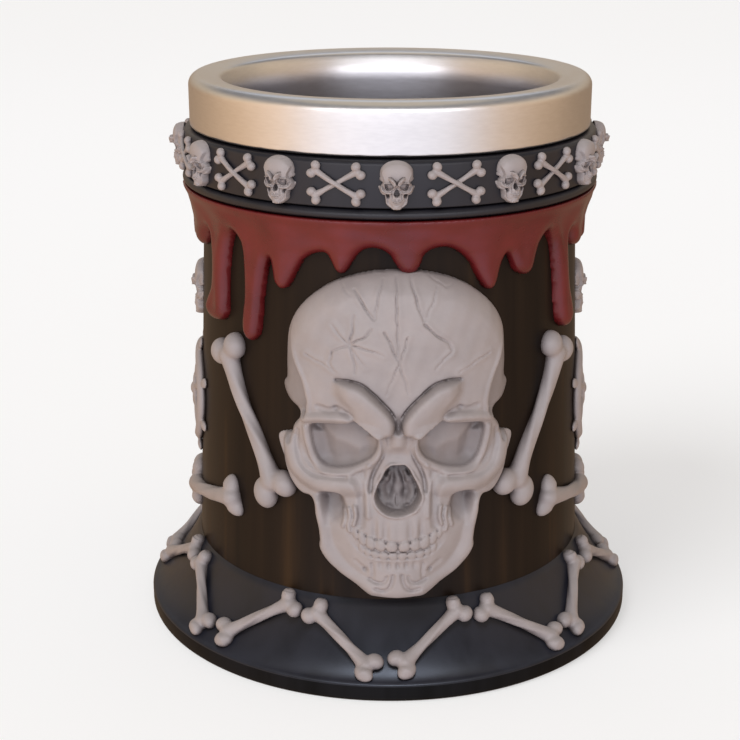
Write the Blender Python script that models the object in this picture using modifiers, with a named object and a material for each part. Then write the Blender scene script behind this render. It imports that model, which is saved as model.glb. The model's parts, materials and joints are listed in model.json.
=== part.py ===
"""Skull-and-bones cup with a lift-out steel liner.

Metres, +Z up. The origin is the centre of the underside, and the large skull faces -Y.
Azimuths are in degrees about +Z: 0 is the front (-Y), and positive goes towards +X.
"""
import math

import bmesh
import bpy
from mathutils import Matrix, Vector

# ---------------------------------------------------------------- driving dimensions
GAP = 0.0003                    # clearance between pieces that touch
FACETS = 36                     # steps of every turned piece

HEIGHT = 0.1293                 # underside to the top of the steel lip
FOOT_RADIUS = 0.0592            # widest radius of the flared foot
FOOT_TOP_Z = 0.0182             # where the flare meets the wall
FOOT_TOP_RADIUS = 0.0472
FOOT_RIM_Z = 0.0042             # where the flare meets the rounded foot rim
FOOT_RIM_RADIUS = 0.0588
FOOT_FLOOR_Z = 0.0038           # inside floor of the foot, which the cup stands on
FLARE_POWER = 1.65              # curve of the flare: 1 is a straight cone

PAD_RADIUS = 0.0507
PAD_THICKNESS = 0.0017

WALL_FOOT_RADIUS = 0.0466       # outer wall where it enters the foot
WALL_TOP_RADIUS = 0.0431        # outer wall under the bands
WALL_TOP_Z = 0.1054
NECK_TOP_Z = 0.1260             # top of the cup's neck, inside the steel rim
BORE_RADIUS = 0.0402
CUP_FLOOR_Z = 0.0080

BEAD_RADIUS = 0.0480
BEAD_BOTTOM_Z = 0.1052
BEAD_TOP_Z = 0.1073
BAND_RADIUS = 0.0475
BAND_BOTTOM_Z = 0.1076
BAND_TOP_Z = 0.1175
RING_BORE_RADIUS = WALL_TOP_RADIUS + GAP

LINER_RIM_RADIUS = 0.0460
LINER_MOUTH_RADIUS = 0.0383
LINER_FLOOR_RADIUS = 0.0360
LINER_SKIRT_Z = 0.1179
LINER_FLOOR_Z = 0.0105
SHEET = 0.0009                  # thickness of the liner's wall
RIM_SHEET = 0.0014              # thickness of the rim's skirt
RIM_SEAT_Z = 0.1276             # underside of the rim, over the neck

BAND_MOTIFS = 12                # skulls round the band, with a pair of bones between each two
BAND_MOTIF_TURN = 1.0           # azimuth of the first band skull
BAND_MOTIF_Z = 0.1128
FOOT_OUTER_RADIUS = 0.0552      # where the foot bones' outer and inner ends lie on the flare
FOOT_INNER_RADIUS = 0.0490
# azimuths of the outer end and the inner end of each bone of the zigzag
FOOT_BONES = (
    (-93.0, -72.2), (-51.0, -65.6), (-43.2, -26.9), (-5.0, -20.0), (2.6, 18.2), (42.2, 25.2),
    (49.4, 64.0), (91.5, 73.4), (99.0, 112.9), (133.6, 119.7), (141.0, 154.9), (175.5, 161.7),
    (182.9, 196.8), (217.5, 203.6), (224.9, 238.8), (259.5, 245.6),
)

SKULL_TURN = 1.3                # azimuth of the large skull
SKULL_TOP_Z = 0.0938
SKULL_CHIN_Z = 0.0212
SKULL_HALF_WIDTH = 0.0250
SKULL_RELIEF = 0.0072

# azimuth and height of the tip, and radius, of each drip on one half; the other half repeats them
DRIPS_HALF = (
    (-74.0, 0.0919, 0.0026), (-60.0, 0.0768, 0.0036), (-42.4, 0.0750, 0.0030), (-31.4, 0.0880, 0.0031),
    (-13.9, 0.0930, 0.0030), (4.6, 0.0950, 0.0031), (27.6, 0.0883, 0.0032), (40.2, 0.0900, 0.0035),
    (60.0, 0.0750, 0.0030), (70.0, 0.0922, 0.0024), (88.0, 0.0896, 0.0030),
)
DRIP_TOP_Z = 0.1049
DRIP_RING_Z = 0.0983            # lower edge of the unbroken part of the drip ring
DRIP_RELIEF = 0.0032

COLOURS = {
    # colour, roughness, metallic
    "resin_black": ((0.016, 0.012, 0.011), 0.38, 0.0),
    "resin_bone": ((0.56, 0.51, 0.48), 0.62, 0.0),
    "resin_red": ((0.235, 0.022, 0.022), 0.42, 0.0),
    "steel": ((0.68, 0.66, 0.63), 0.28, 1.0),
    "rubber": ((0.025, 0.025, 0.025), 0.85, 0.0),
}


# ---------------------------------------------------------------- scene and materials
def clear_scene():
    for item in list(bpy.data.objects):
        bpy.data.objects.remove(item, do_unlink=True)


def new_collection(name):
    collection = bpy.data.collections.new(name)
    bpy.context.scene.collection.children.link(collection)
    return collection


def own_material(obj, finish):
    """Give a piece its own Principled material in one of the named finishes."""
    colour, roughness, metallic = COLOURS[finish]
    material = bpy.data.materials.new(obj.name)
    material.use_nodes = True
    shader = material.node_tree.nodes["Principled BSDF"]
    shader.inputs["Base Color"].default_value = (*colour, 1.0)
    shader.inputs["Roughness"].default_value = roughness
    shader.inputs["Metallic"].default_value = metallic
    obj.material_slots[0].link = "OBJECT"
    obj.material_slots[0].material = material


def add_piece(name, mesh, finish, turn=0.0):
    """Put a mesh into the cup as a named piece, turned about the cup's axis."""
    if not mesh.materials:
        mesh.materials.append(None)
    obj = bpy.data.objects.new(name, mesh)
    PIECES.objects.link(obj)
    obj.rotation_euler.z = math.radians(turn)
    own_material(obj, finish)
    return obj


# ---------------------------------------------------------------- geometry helpers
def around(azimuth, radius, z):
    angle = math.radians(azimuth)
    return Vector((radius * math.sin(angle), -radius * math.cos(angle), z))


def wall_radius(z):
    """Outer radius of the cup's wall, a straight taper down to where it enters the foot."""
    share = (z - FOOT_TOP_Z) / (WALL_TOP_Z - FOOT_TOP_Z)
    return WALL_FOOT_RADIUS + min(max(share, 0.0), 1.0) * (WALL_TOP_RADIUS - WALL_FOOT_RADIUS)


def flare_z(radius):
    """Height of the foot's upper surface at a radius."""
    share = (FOOT_RIM_RADIUS - radius) / (FOOT_RIM_RADIUS - FOOT_TOP_RADIUS)
    return FOOT_RIM_Z + (FOOT_TOP_Z - FOOT_RIM_Z) * min(max(share, 0.0), 1.0) ** FLARE_POWER


def arc(centre, radius, start, end, steps):
    """Points of a circular arc in the (radius, z) half plane, angles in degrees."""
    for step in range(steps + 1):
        angle = math.radians(start + (end - start) * step / steps)
        yield centre[0] + radius * math.cos(angle), centre[1] + radius * math.sin(angle)


def realise(obj):
    """Replace an object by the mesh that its modifiers give, in world space."""
    evaluated = obj.evaluated_get(bpy.context.evaluated_depsgraph_get())
    mesh = bpy.data.meshes.new_from_object(evaluated)
    mesh.transform(obj.matrix_world)
    bpy.data.objects.remove(obj, do_unlink=True)
    work = bmesh.new()
    work.from_mesh(mesh)
    bmesh.ops.remove_doubles(work, verts=work.verts, dist=0.00001)
    bmesh.ops.dissolve_degenerate(work, edges=work.edges, dist=0.00001)
    work.to_mesh(mesh)
    work.free()
    mesh.materials.clear()
    mesh.shade_smooth()
    mesh.set_sharp_from_angle(angle=math.radians(50))
    return mesh


def helper(name, mesh):
    """An object that only cuts or joins others."""
    obj = bpy.data.objects.new(name, mesh)
    CUTTERS.objects.link(obj)
    obj.hide_render = True
    obj.display_type = "WIRE"
    return obj


def turned(name, profile, closed=False):
    """Mesh of a profile turned about Z. The profile runs down its outer side."""
    work = bmesh.new()
    points = [work.verts.new((radius, 0.0, z)) for radius, z in profile]
    ends = points[1:] + points[:1] if closed else points[1:]
    for first, second in zip(points, ends):
        work.edges.new((first, second))
    mesh = bpy.data.meshes.new(name)
    work.to_mesh(mesh)
    work.free()
    obj = helper(name, mesh)
    screw = obj.modifiers.new("turn", "SCREW")
    screw.steps = FACETS
    screw.render_steps = FACETS
    screw.use_merge_vertices = True
    screw.merge_threshold = 0.00001
    bpy.context.view_layer.update()
    return realise(obj)


def ellipsoid(name, centre, radii, segments=12, rings=8):
    work = bmesh.new()
    bmesh.ops.create_uvsphere(work, u_segments=segments, v_segments=rings, radius=1.0)
    work.transform(Matrix.Translation(centre) @ Matrix.Diagonal((*radii, 1.0)))
    mesh = bpy.data.meshes.new(name)
    work.to_mesh(mesh)
    work.free()
    return helper(name, mesh)


def tube(name, points, radius, sides_resolution=1):
    """A straight-sided tube through points, with filled caps, as a closed mesh."""
    curve = bpy.data.curves.new(name, "CURVE")
    curve.dimensions = "3D"
    curve.bevel_depth = radius
    curve.bevel_resolution = sides_resolution
    curve.use_fill_caps = True
    spline = curve.splines.new("POLY")
    spline.points.add(len(points) - 1)
    for control, point in zip(spline.points, points):
        control.co = (*point, 1.0)
    obj = bpy.data.objects.new(name, curve)
    CUTTERS.objects.link(obj)
    bpy.context.view_layer.update()
    mesh = realise(obj)
    bpy.data.curves.remove(curve)
    return helper(name, mesh)


def combine(base, joined=(), cut=()):
    """Union and difference of helper objects; returns one mesh and removes the helpers."""
    for operation, others in (("UNION", joined), ("DIFFERENCE", cut)):
        for other in others:
            boolean = base.modifiers.new(operation, "BOOLEAN")
            boolean.operation = operation
            boolean.solver = "EXACT"
            boolean.object = other
    bpy.context.view_layer.update()
    mesh = realise(base)
    for other in (*joined, *cut):
        if other is not WALL_CUTTER:
            bpy.data.objects.remove(other, do_unlink=True)
    return mesh


def wall_cutter():
    """Everything that a relief piece has to stay clear of: bands, wall and flare, plus the gap."""
    profile = [
        (0.0, BAND_TOP_Z), (BAND_RADIUS + GAP, BAND_TOP_Z), (BAND_RADIUS + GAP, BEAD_TOP_Z),
        (BEAD_RADIUS + GAP, BEAD_TOP_Z), (BEAD_RADIUS + GAP, BEAD_BOTTOM_Z - GAP),
        (WALL_TOP_RADIUS + GAP, BEAD_BOTTOM_Z - GAP), (WALL_FOOT_RADIUS + GAP, FOOT_TOP_Z + GAP),
    ]
    radii = [FOOT_TOP_RADIUS + (FOOT_RIM_RADIUS - FOOT_TOP_RADIUS) * step / 6 for step in range(7)]
    profile += [(radius + GAP / 2, flare_z(radius) + GAP) for radius in radii]
    profile += [(FOOT_RIM_RADIUS + GAP, 0.0), (0.0, 0.0)]
    return helper("wall_cutter", turned("wall_cutter", profile))


# ---------------------------------------------------------------- turned pieces
def build_base_pad():
    profile = [(0.0, PAD_THICKNESS), (PAD_RADIUS, PAD_THICKNESS), (PAD_RADIUS, 0.0), (0.0, 0.0)]
    add_piece("base_pad", turned("base_pad", profile), "rubber")


def build_base_foot():
    recess_top = PAD_THICKNESS + GAP
    recess_radius = PAD_RADIUS + GAP
    socket = WALL_FOOT_RADIUS + GAP
    rim_round = 0.0020
    flare = [FOOT_TOP_RADIUS + (FOOT_RIM_RADIUS - FOOT_TOP_RADIUS) * step / 6 for step in range(7)]
    profile = [(0.0, FOOT_FLOOR_Z), (socket, FOOT_FLOOR_Z), (socket, FOOT_TOP_Z)]
    profile += [(radius, flare_z(radius)) for radius in flare]
    profile += arc((FOOT_RADIUS - rim_round, rim_round), rim_round, 30, -90, 4)
    profile += [(recess_radius, 0.0), (recess_radius, recess_top), (0.0, recess_top)]
    add_piece("base_foot", turned("base_foot", profile), "resin_black")


def build_cup_body():
    foot_z = FOOT_FLOOR_Z + GAP
    profile = [
        (0.0, CUP_FLOOR_Z), (BORE_RADIUS, CUP_FLOOR_Z), (BORE_RADIUS, NECK_TOP_Z),
        (WALL_TOP_RADIUS - GAP, NECK_TOP_Z), (WALL_TOP_RADIUS, WALL_TOP_Z),
        (WALL_FOOT_RADIUS, FOOT_TOP_Z), (WALL_FOOT_RADIUS, foot_z), (0.0, foot_z),
    ]
    add_piece("cup_body", turned("cup_body", profile), "resin_black")


def build_bands():
    bead_middle = (BEAD_TOP_Z + BEAD_BOTTOM_Z) / 2
    bead_round = (BEAD_TOP_Z - BEAD_BOTTOM_Z) / 2
    bead = [(RING_BORE_RADIUS, BEAD_TOP_Z)]
    bead += arc((BEAD_RADIUS - bead_round, bead_middle), bead_round, 90, -90, 4)
    bead += [(RING_BORE_RADIUS, BEAD_BOTTOM_Z)]
    add_piece("bead_ring", turned("bead_ring", bead, closed=True), "resin_black")
    shoulder = 0.0012
    band = [(RING_BORE_RADIUS, BAND_TOP_Z)]
    band += arc((BAND_RADIUS - shoulder, BAND_TOP_Z - shoulder), shoulder, 90, 0, 3)
    band += [(BAND_RADIUS, BAND_BOTTOM_Z), (RING_BORE_RADIUS, BAND_BOTTOM_Z)]
    add_piece("band_ring", turned("band_ring", band, closed=True), "resin_black")


def build_rim_gasket():
    low = NECK_TOP_Z + GAP
    high = RIM_SEAT_Z - GAP
    inner = BORE_RADIUS + GAP
    outer = WALL_TOP_RADIUS - 2 * GAP
    profile = [(inner, high), (outer, high), (outer, low), (inner, low)]
    add_piece("rim_gasket", turned("rim_gasket", profile, closed=True), "rubber")


def build_steel_liner():
    corner = 0.0050
    floor_under_z = LINER_FLOOR_Z - SHEET
    skirt_inner = LINER_RIM_RADIUS - RIM_SHEET
    profile = [(0.0, LINER_FLOOR_Z)]
    profile += arc((LINER_FLOOR_RADIUS - corner, LINER_FLOOR_Z + corner), corner, -90, 0, 4)
    profile += [(LINER_MOUTH_RADIUS - 0.0001, 0.1240), (LINER_MOUTH_RADIUS, 0.1281)]
    profile += [(0.0388, 0.1288), (0.0420, HEIGHT), (0.0440, HEIGHT - 0.0002), (0.0454, 0.1283)]
    profile += [(LINER_RIM_RADIUS, 0.1269), (LINER_RIM_RADIUS, LINER_SKIRT_Z + 0.0006)]
    profile += [(LINER_RIM_RADIUS - 0.0005, LINER_SKIRT_Z), (skirt_inner, LINER_SKIRT_Z)]
    profile += [(skirt_inner, RIM_SEAT_Z), (LINER_MOUTH_RADIUS + SHEET, RIM_SEAT_Z)]
    outer_corner = corner + SHEET
    profile += arc((LINER_FLOOR_RADIUS - corner, LINER_FLOOR_Z + corner), outer_corner, 0, -90, 4)
    profile += [(0.0, floor_under_z)]
    add_piece("steel_liner", turned("steel_liner", profile), "steel")


# ---------------------------------------------------------------- drips
def build_blood_drip():
    """A sheet round the wall whose lower edge hangs down in drips, given its thickness outwards."""
    drips = [(azimuth + turn, tip_z, radius) for turn in (0, 180) for azimuth, tip_z, radius in DRIPS_HALF]
    columns = []
    for number, (azimuth, tip_z, radius) in enumerate(drips):
        half = math.degrees(radius / wall_radius(tip_z))
        for share, rise in ((-1.0, 1.0), (-0.75, 0.35), (0.0, 0.0), (0.75, 0.35), (1.0, 1.0)):
            columns.append((azimuth + share * half, tip_z + rise * radius * 1.3))
        following = drips[(number + 1) % len(drips)]
        turn = 360.0 if number == len(drips) - 1 else 0.0
        valley = (azimuth + half + following[0] + turn - math.degrees(following[2] / WALL_TOP_RADIUS)) / 2
        columns.append((valley, DRIP_RING_Z))
    columns.append((columns[0][0] + 360.0, columns[0][1]))
    rows = (0.0, 0.6, 1.0)
    work = bmesh.new()
    bmesh.ops.create_grid(work, x_segments=len(columns) - 1, y_segments=len(rows) - 1, size=1.0)
    for vert in work.verts:
        column = round((vert.co.x + 1) / 2 * (len(columns) - 1))
        row = round((vert.co.y + 1) / 2 * (len(rows) - 1))
        azimuth, edge_z = columns[column]
        z = edge_z + (DRIP_TOP_Z - edge_z) * rows[row]
        vert.co = around(azimuth, wall_radius(z) + GAP, z)
    bmesh.ops.remove_doubles(work, verts=work.verts, dist=0.00001)
    bmesh.ops.recalc_face_normals(work, faces=work.faces)
    mesh = bpy.data.meshes.new("blood_drip")
    work.to_mesh(mesh)
    work.free()
    obj = add_piece("blood_drip", mesh, "resin_red")
    solidify = obj.modifiers.new("thickness", "SOLIDIFY")
    solidify.thickness = DRIP_RELIEF
    solidify.offset = 1.0


# ---------------------------------------------------------------- skulls
def skull_mesh(name, wall, height, half_width, relief, middle_z, segments, cheeks=True):
    """A front-facing skull in relief: braincase, cheeks and jaw, with eye and nose hollows."""
    seat = -math.sqrt(wall * wall - half_width * half_width)
    depth = wall + relief + seat
    chin_z = middle_z - height / 2

    def lump(part, x, z, radii, sides):
        centre = (x * half_width, seat, chin_z + z * height)
        size = (radii[0] * half_width, radii[1], radii[2] * height)
        return ellipsoid(part, centre, size, sides, sides * 2 // 3)

    base = lump("braincase", 0.0, 0.70, (0.98, depth, 0.34), segments)
    joined = [lump("jaw", 0.0, 0.26, (0.66, depth * 0.98, 0.29), segments * 3 // 4)]
    if cheeks:
        joined.append(lump("cheeks", 0.0, 0.46, (1.0, depth * 0.90, 0.16), segments))
    front = depth * 0.88
    hollow_sides = max(5, segments // 2)
    hollows = (
        (-0.46, 0.50, (0.29, relief * 0.6, 0.080)), (0.46, 0.50, (0.29, relief * 0.6, 0.080)),
        (0.0, 0.355, (0.19, relief * 0.6, 0.075)),
    )
    cut = [WALL_CUTTER]
    for x, z, radii in hollows:
        hollow = lump("hollow", x, z, radii, hollow_sides)
        hollow.location.y = -front
        cut.append(hollow)
    mesh = combine(base, joined=joined, cut=cut)
    mesh.name = name
    return mesh


def build_large_skulls():
    height = SKULL_TOP_Z - SKULL_CHIN_Z
    middle_z = (SKULL_TOP_Z + SKULL_CHIN_Z) / 2
    wall = wall_radius(middle_z)
    mesh = skull_mesh("large_skull", wall, height, SKULL_HALF_WIDTH, SKULL_RELIEF, middle_z, 16)
    add_piece("front_skull", mesh, "resin_bone", SKULL_TURN)
    add_piece("back_skull", mesh, "resin_bone", SKULL_TURN + 180)


# ---------------------------------------------------------------- bones
def bone_helpers(route, shaft, knob, sides=1, segments=8):
    """A long bone: a shaft along a route with two round knobs side by side at each end."""
    parts = [tube("shaft", route, shaft, sides)]
    for end, inner in ((route[0], route[1]), (route[-1], route[-2])):
        along = (end - inner).normalized()
        outward = Vector((end.x, end.y, 0.0)).normalized()
        across = along.cross(outward).normalized()
        for side in (-1, 1):
            centre = end + across * (side * knob * 0.85) + along * knob * 0.15
            parts.append(ellipsoid("knob", centre, (knob, knob, knob), segments, segments * 2 // 3))
    return parts


def wall_route(start, end, shaft, steps, lift=0.4):
    """Points from one (azimuth, z) to another over the wall, lifted by a share of the shaft."""
    route = []
    for step in range(steps + 1):
        share = step / steps
        azimuth = start[0] + (end[0] - start[0]) * share
        z = start[1] + (end[1] - start[1]) * share
        radius = BAND_RADIUS if z > BEAD_TOP_Z else wall_radius(z)
        route.append(around(azimuth, radius + GAP + shaft * lift, z))
    return route


def bone_plate(start, end, outward, shaft, knob, thickness):
    """A small bone as a plate: its outline, two round knobs at each end, lying from start to end."""
    half = (end - start).length / 2
    spread = 0.9 * knob
    shaft_angle = 180 + math.degrees(math.asin((spread - shaft) / knob))
    notch_angle = -60
    outline = []
    for turn in (1, -1):
        for side, first, last in ((1, shaft_angle, notch_angle), (-1, -notch_angle, -shaft_angle)):
            for x, y in arc((half, side * spread), knob, first, last, 5):
                outline.append((turn * x, turn * y))
    curve = bpy.data.curves.new("bone_plate", "CURVE")
    curve.dimensions = "2D"
    curve.fill_mode = "BOTH"
    curve.extrude = thickness / 2
    spline = curve.splines.new("POLY")
    spline.points.add(len(outline) - 1)
    spline.use_cyclic_u = True
    for control, (x, y) in zip(spline.points, outline):
        control.co = (x, y, 0.0, 1.0)
    obj = bpy.data.objects.new("bone_plate", curve)
    CUTTERS.objects.link(obj)
    along = (end - start).normalized()
    across = outward.cross(along).normalized()
    normal = along.cross(across)
    frame = Matrix((along, across, normal)).transposed().to_4x4()
    middle = (start + end) / 2 + normal * thickness / 2
    obj.matrix_world = Matrix.Translation(middle) @ frame
    bpy.context.view_layer.update()
    mesh = realise(obj)
    bpy.data.curves.remove(curve)
    return helper("bone_plate", mesh)


def bone_mesh(name, *bones):
    """One mesh from one or more bones, each a list of helpers, cut to the wall."""
    first = bones[0][0]
    rest = [part for bone in bones for part in bone if part is not first]
    mesh = combine(first, joined=rest, cut=[WALL_CUTTER])
    mesh.name = name
    return mesh


def build_flank_bones():
    top, foot = (54.4, 0.0713), (35.4, 0.0427)
    shaft, knob = 0.0020, 0.0030
    for side, side_name in ((-1, "left"), (1, "right")):
        ends = [(side * azimuth, z) for azimuth, z in (top, foot)]
        route = wall_route(*ends, shaft, 4)
        mesh = bone_mesh(f"flank_{side_name}", bone_helpers(route, shaft, knob, 1, 7))
        add_piece(f"front_{side_name}_bone", mesh, "resin_bone", SKULL_TURN)
        add_piece(f"back_{side_name}_bone", mesh, "resin_bone", SKULL_TURN + 180)


def build_side_motifs():
    """On each flank: a small skull, a spoked wheel under it, and two bones meeting at the bottom."""
    motif_z = 0.0527
    rim, hub = 0.0112, 0.0035
    strand = 0.0011
    skull_low_z, skull_high_z = 0.0718, 0.0852
    skull_z = (skull_low_z + skull_high_z) / 2
    skull = skull_mesh(
        "side_skull", wall_radius(skull_z), skull_high_z - skull_low_z, 0.0055, 0.0026, skull_z, 9
    )

    def on_wall(x, z):
        radius = wall_radius(motif_z + z)
        return around(math.degrees(x / radius), radius + GAP + strand * 0.5, motif_z + z)

    turns = [2 * math.pi * step / 16 for step in range(16)]
    hoop = closed_tube("hoop", [on_wall(rim * math.sin(t), rim * math.cos(t)) for t in turns], strand)
    centre = on_wall(0.0, 0.0)
    strands = [ellipsoid("hub", centre, (hub, strand * 1.5, hub), 8, 5)]
    reach = rim + 0.0032
    for spoke in range(4):
        angle = math.pi * (spoke + 0.5) / 4
        shares = (-1.0, -0.5, 0.0, 0.5, 1.0)
        route = [on_wall(reach * s * math.sin(angle), reach * s * math.cos(angle)) for s in shares]
        strands.append(tube("spoke", route, strand * 0.85, 0))
    wheel = combine(hoop, joined=strands, cut=[WALL_CUTTER])

    shaft, knob = 0.0020, 0.0030
    bones = []
    for side, lift in ((-1, 0.4), (1, 0.5)):
        route = wall_route((side * 38.4, 0.0366), (side * 3.6, 0.0290), shaft, 4, lift)
        bones.append(bone_helpers(route, shaft, knob, 1, 7))
    pair = bone_mesh("side_bones", *bones)
    for turn, side_name in ((-90, "left"), (90, "right")):
        add_piece(f"{side_name}_side_skull", skull, "resin_bone", turn)
        add_piece(f"{side_name}_side_wheel", wheel, "resin_bone", turn)
        add_piece(f"{side_name}_side_bones", pair, "resin_bone", turn)


def closed_tube(name, points, radius):
    """A tube round a closed loop of points."""
    curve = bpy.data.curves.new(name, "CURVE")
    curve.dimensions = "3D"
    curve.bevel_depth = radius
    curve.bevel_resolution = 0
    spline = curve.splines.new("POLY")
    spline.points.add(len(points) - 1)
    spline.use_cyclic_u = True
    for control, point in zip(spline.points, points):
        control.co = (*point, 1.0)
    obj = bpy.data.objects.new(name, curve)
    CUTTERS.objects.link(obj)
    bpy.context.view_layer.update()
    mesh = realise(obj)
    bpy.data.curves.remove(curve)
    return helper(name, mesh)


def build_band_motifs():
    step = 360 / BAND_MOTIFS
    skull = skull_mesh("band_skull", BAND_RADIUS, 0.0094, 0.0040, 0.0034, BAND_MOTIF_Z, 8, cheeks=False)
    shaft, knob, thickness = 0.0007, 0.00105, 0.0014
    reach, rise = 0.0049, 0.0025
    bones = []
    for side, lift in ((1, 0.0), (-1, thickness * 0.55)):
        ends = [(sign * side * reach, sign * rise) for sign in (-1, 1)]
        seat = -(BAND_RADIUS + GAP + lift)
        start, end = [Vector((x, seat, BAND_MOTIF_Z + z)) for x, z in ends]
        bones.append(bone_plate(start, end, Vector((0.0, -1.0, 0.0)), shaft, knob, thickness))
    crossed = combine(bones[0], joined=bones[1:])
    for number in range(BAND_MOTIFS):
        turn = BAND_MOTIF_TURN + step * number
        add_piece(f"band_skull_{number + 1:02d}", skull, "resin_bone", turn)
        add_piece(f"band_crossbones_{number + 1:02d}", crossed, "resin_bone", turn + step / 2)


def build_foot_bones():
    """Bones end to end in a zigzag round the flare; every second one leans the other way."""
    shaft, knob, thickness = 0.0013, 0.0018, 0.0027
    lift = 0.0004
    for number, (outer_azimuth, inner_azimuth) in enumerate(FOOT_BONES):
        outer = around(outer_azimuth, FOOT_OUTER_RADIUS, flare_z(FOOT_OUTER_RADIUS) + lift)
        inner = around(inner_azimuth, FOOT_INNER_RADIUS, flare_z(FOOT_INNER_RADIUS) + lift)
        middle = (outer + inner) / 2
        outward = Vector((middle.x, middle.y, middle.xy.length * 0.9))
        plate = bone_plate(outer, inner, outward, shaft, knob, thickness)
        add_piece(f"foot_bone_{number + 1:02d}", combine(plate, cut=[WALL_CUTTER]), "resin_bone")


# ---------------------------------------------------------------- the whole cup
clear_scene()
PIECES = new_collection("skull_cup")
CUTTERS = new_collection("cutters")
WALL_CUTTER = wall_cutter()
build_base_pad()
build_base_foot()
build_cup_body()
build_bands()
build_rim_gasket()
build_steel_liner()
build_blood_drip()
build_large_skulls()
build_flank_bones()
build_side_motifs()
build_band_motifs()
build_foot_bones()
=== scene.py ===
"""Looks of the skull-and-bones cup: sculpted relief, turned shells, materials, light and camera."""
import json
import math

import bpy
import numpy as np
import openvdb
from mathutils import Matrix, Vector

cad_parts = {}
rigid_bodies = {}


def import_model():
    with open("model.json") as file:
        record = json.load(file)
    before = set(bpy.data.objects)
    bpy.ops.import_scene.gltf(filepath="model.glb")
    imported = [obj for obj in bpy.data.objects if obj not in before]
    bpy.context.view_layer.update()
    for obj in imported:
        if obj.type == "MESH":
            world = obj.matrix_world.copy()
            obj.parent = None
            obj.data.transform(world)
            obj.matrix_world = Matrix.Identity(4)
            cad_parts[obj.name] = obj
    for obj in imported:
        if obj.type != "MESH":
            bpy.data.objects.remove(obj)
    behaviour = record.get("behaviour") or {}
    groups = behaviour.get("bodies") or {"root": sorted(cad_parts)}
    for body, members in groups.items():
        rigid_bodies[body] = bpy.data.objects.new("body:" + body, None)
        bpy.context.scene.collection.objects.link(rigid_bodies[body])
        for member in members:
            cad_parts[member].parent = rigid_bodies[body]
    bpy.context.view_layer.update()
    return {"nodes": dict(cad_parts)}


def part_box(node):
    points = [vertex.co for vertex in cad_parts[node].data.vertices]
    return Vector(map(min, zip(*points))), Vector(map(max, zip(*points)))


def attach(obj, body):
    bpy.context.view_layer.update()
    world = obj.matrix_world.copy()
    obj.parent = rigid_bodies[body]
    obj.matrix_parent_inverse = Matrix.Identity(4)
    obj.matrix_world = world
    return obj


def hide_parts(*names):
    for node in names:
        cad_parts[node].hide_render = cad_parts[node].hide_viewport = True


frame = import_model()

MM = 0.001

# ---- sizes, in millimetres
def box_mm(node):
    low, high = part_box(node)
    return [value / MM for value in low], [value / MM for value in high]


CUP_LOW, CUP_HIGH = box_mm("cup_body")
FOOT_HIGH = box_mm("base_foot")[1]
PAD_HIGH = box_mm("base_pad")[1]
BAND_LOW, BAND_HIGH = box_mm("band_ring")
BEAD_LOW, BEAD_HIGH = box_mm("bead_ring")
LINER_LOW, LINER_HIGH = box_mm("steel_liner")
DRIP_LOW, DRIP_HIGH = box_mm("blood_drip")
GAP = 0.3                           # clearance between pieces in the CAD
WALL_FOOT_R = CUP_HIGH[0]
WALL_TOP_R = 43.1
WALL_TOP_Z = 105.4
FOOT_TOP_Z = FOOT_HIGH[2]
FOOT_TOP_R = 47.2
FOOT_RIM_R = 58.8
FOOT_RIM_Z = 4.2
FLARE_POWER = 1.65
BAND_R = BAND_HIGH[0]
SKULL_TURN = 1.3
SKULL_CHIN_Z = 21.2
SKULL_TALL = 72.8
SKULL_RELIEF = 7.6                  # height of the large skull over the wall
WALL_REFERENCE = 45.0               # radius at which a flat relief keeps its width on the wall
FLARE_REFERENCE = 52.3              # and on the flare of the foot
RELIEF_BASE = -0.35                 # how far a relief reaches into what it sits on
BAND_MOTIFS = 12                    # skulls, and pairs of crossed bones, round the band
TURN_STEPS = 240


def wall_radius(z):
    share = np.clip((z - FOOT_TOP_Z) / (WALL_TOP_Z - FOOT_TOP_Z), 0.0, 1.0)
    return WALL_FOOT_R + share * (WALL_TOP_R - WALL_FOOT_R)


def flare_z(radius):
    share = np.clip((FOOT_RIM_R - radius) / (FOOT_RIM_R - FOOT_TOP_R), 0.0, 1.0)
    return FOOT_RIM_Z + (FOOT_TOP_Z - FOOT_RIM_Z) * share ** FLARE_POWER


# ---- placing a flat relief on the cup
def around(azimuth, radius, z):
    """World points in metres from degrees and millimetres; azimuth 0 is the front, + towards +X."""
    angle = np.radians(azimuth)
    return np.stack([radius * np.sin(angle), -radius * np.cos(angle), z], axis=-1) * MM


def on_wall(points, turn):
    """Wrap points (across, height above the table, outwards) onto the tapered wall."""
    x, z, h = points.T
    return around(turn + np.degrees(x / WALL_REFERENCE), wall_radius(z) + h, z)


def on_band(points):
    x, z, h = points.T
    return around(np.degrees(x / BAND_R), BAND_R - GAP + h, z)


FLARE_RADII = np.linspace(FOOT_RIM_R, FOOT_TOP_R, 120)
FLARE_HEIGHTS = np.concatenate([flare_z(FLARE_RADII), (FOOT_TOP_Z + 0.8, FOOT_TOP_Z + 1.8, FOOT_TOP_Z + 6.0)])
FLARE_RADII = np.concatenate([FLARE_RADII, (46.95, 46.75, 46.6)])
FLARE_LENGTHS = np.concatenate(
    [[0.0], np.cumsum(np.hypot(np.diff(FLARE_RADII), np.diff(FLARE_HEIGHTS)))]
)


def on_flare(points, turn):
    """Wrap points (across, distance up the flare from its rim, outwards) onto the foot."""
    x, run, h = points.T
    radius = np.interp(run, FLARE_LENGTHS, FLARE_RADII)
    z = np.interp(run, FLARE_LENGTHS, FLARE_HEIGHTS)
    ahead = np.interp(run + 0.2, FLARE_LENGTHS, FLARE_RADII) - radius
    rise = np.interp(run + 0.2, FLARE_LENGTHS, FLARE_HEIGHTS) - z
    length = np.hypot(ahead, rise)
    return around(turn + np.degrees(x / FLARE_REFERENCE), radius + h * rise / length, z - h * ahead / length)


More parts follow.
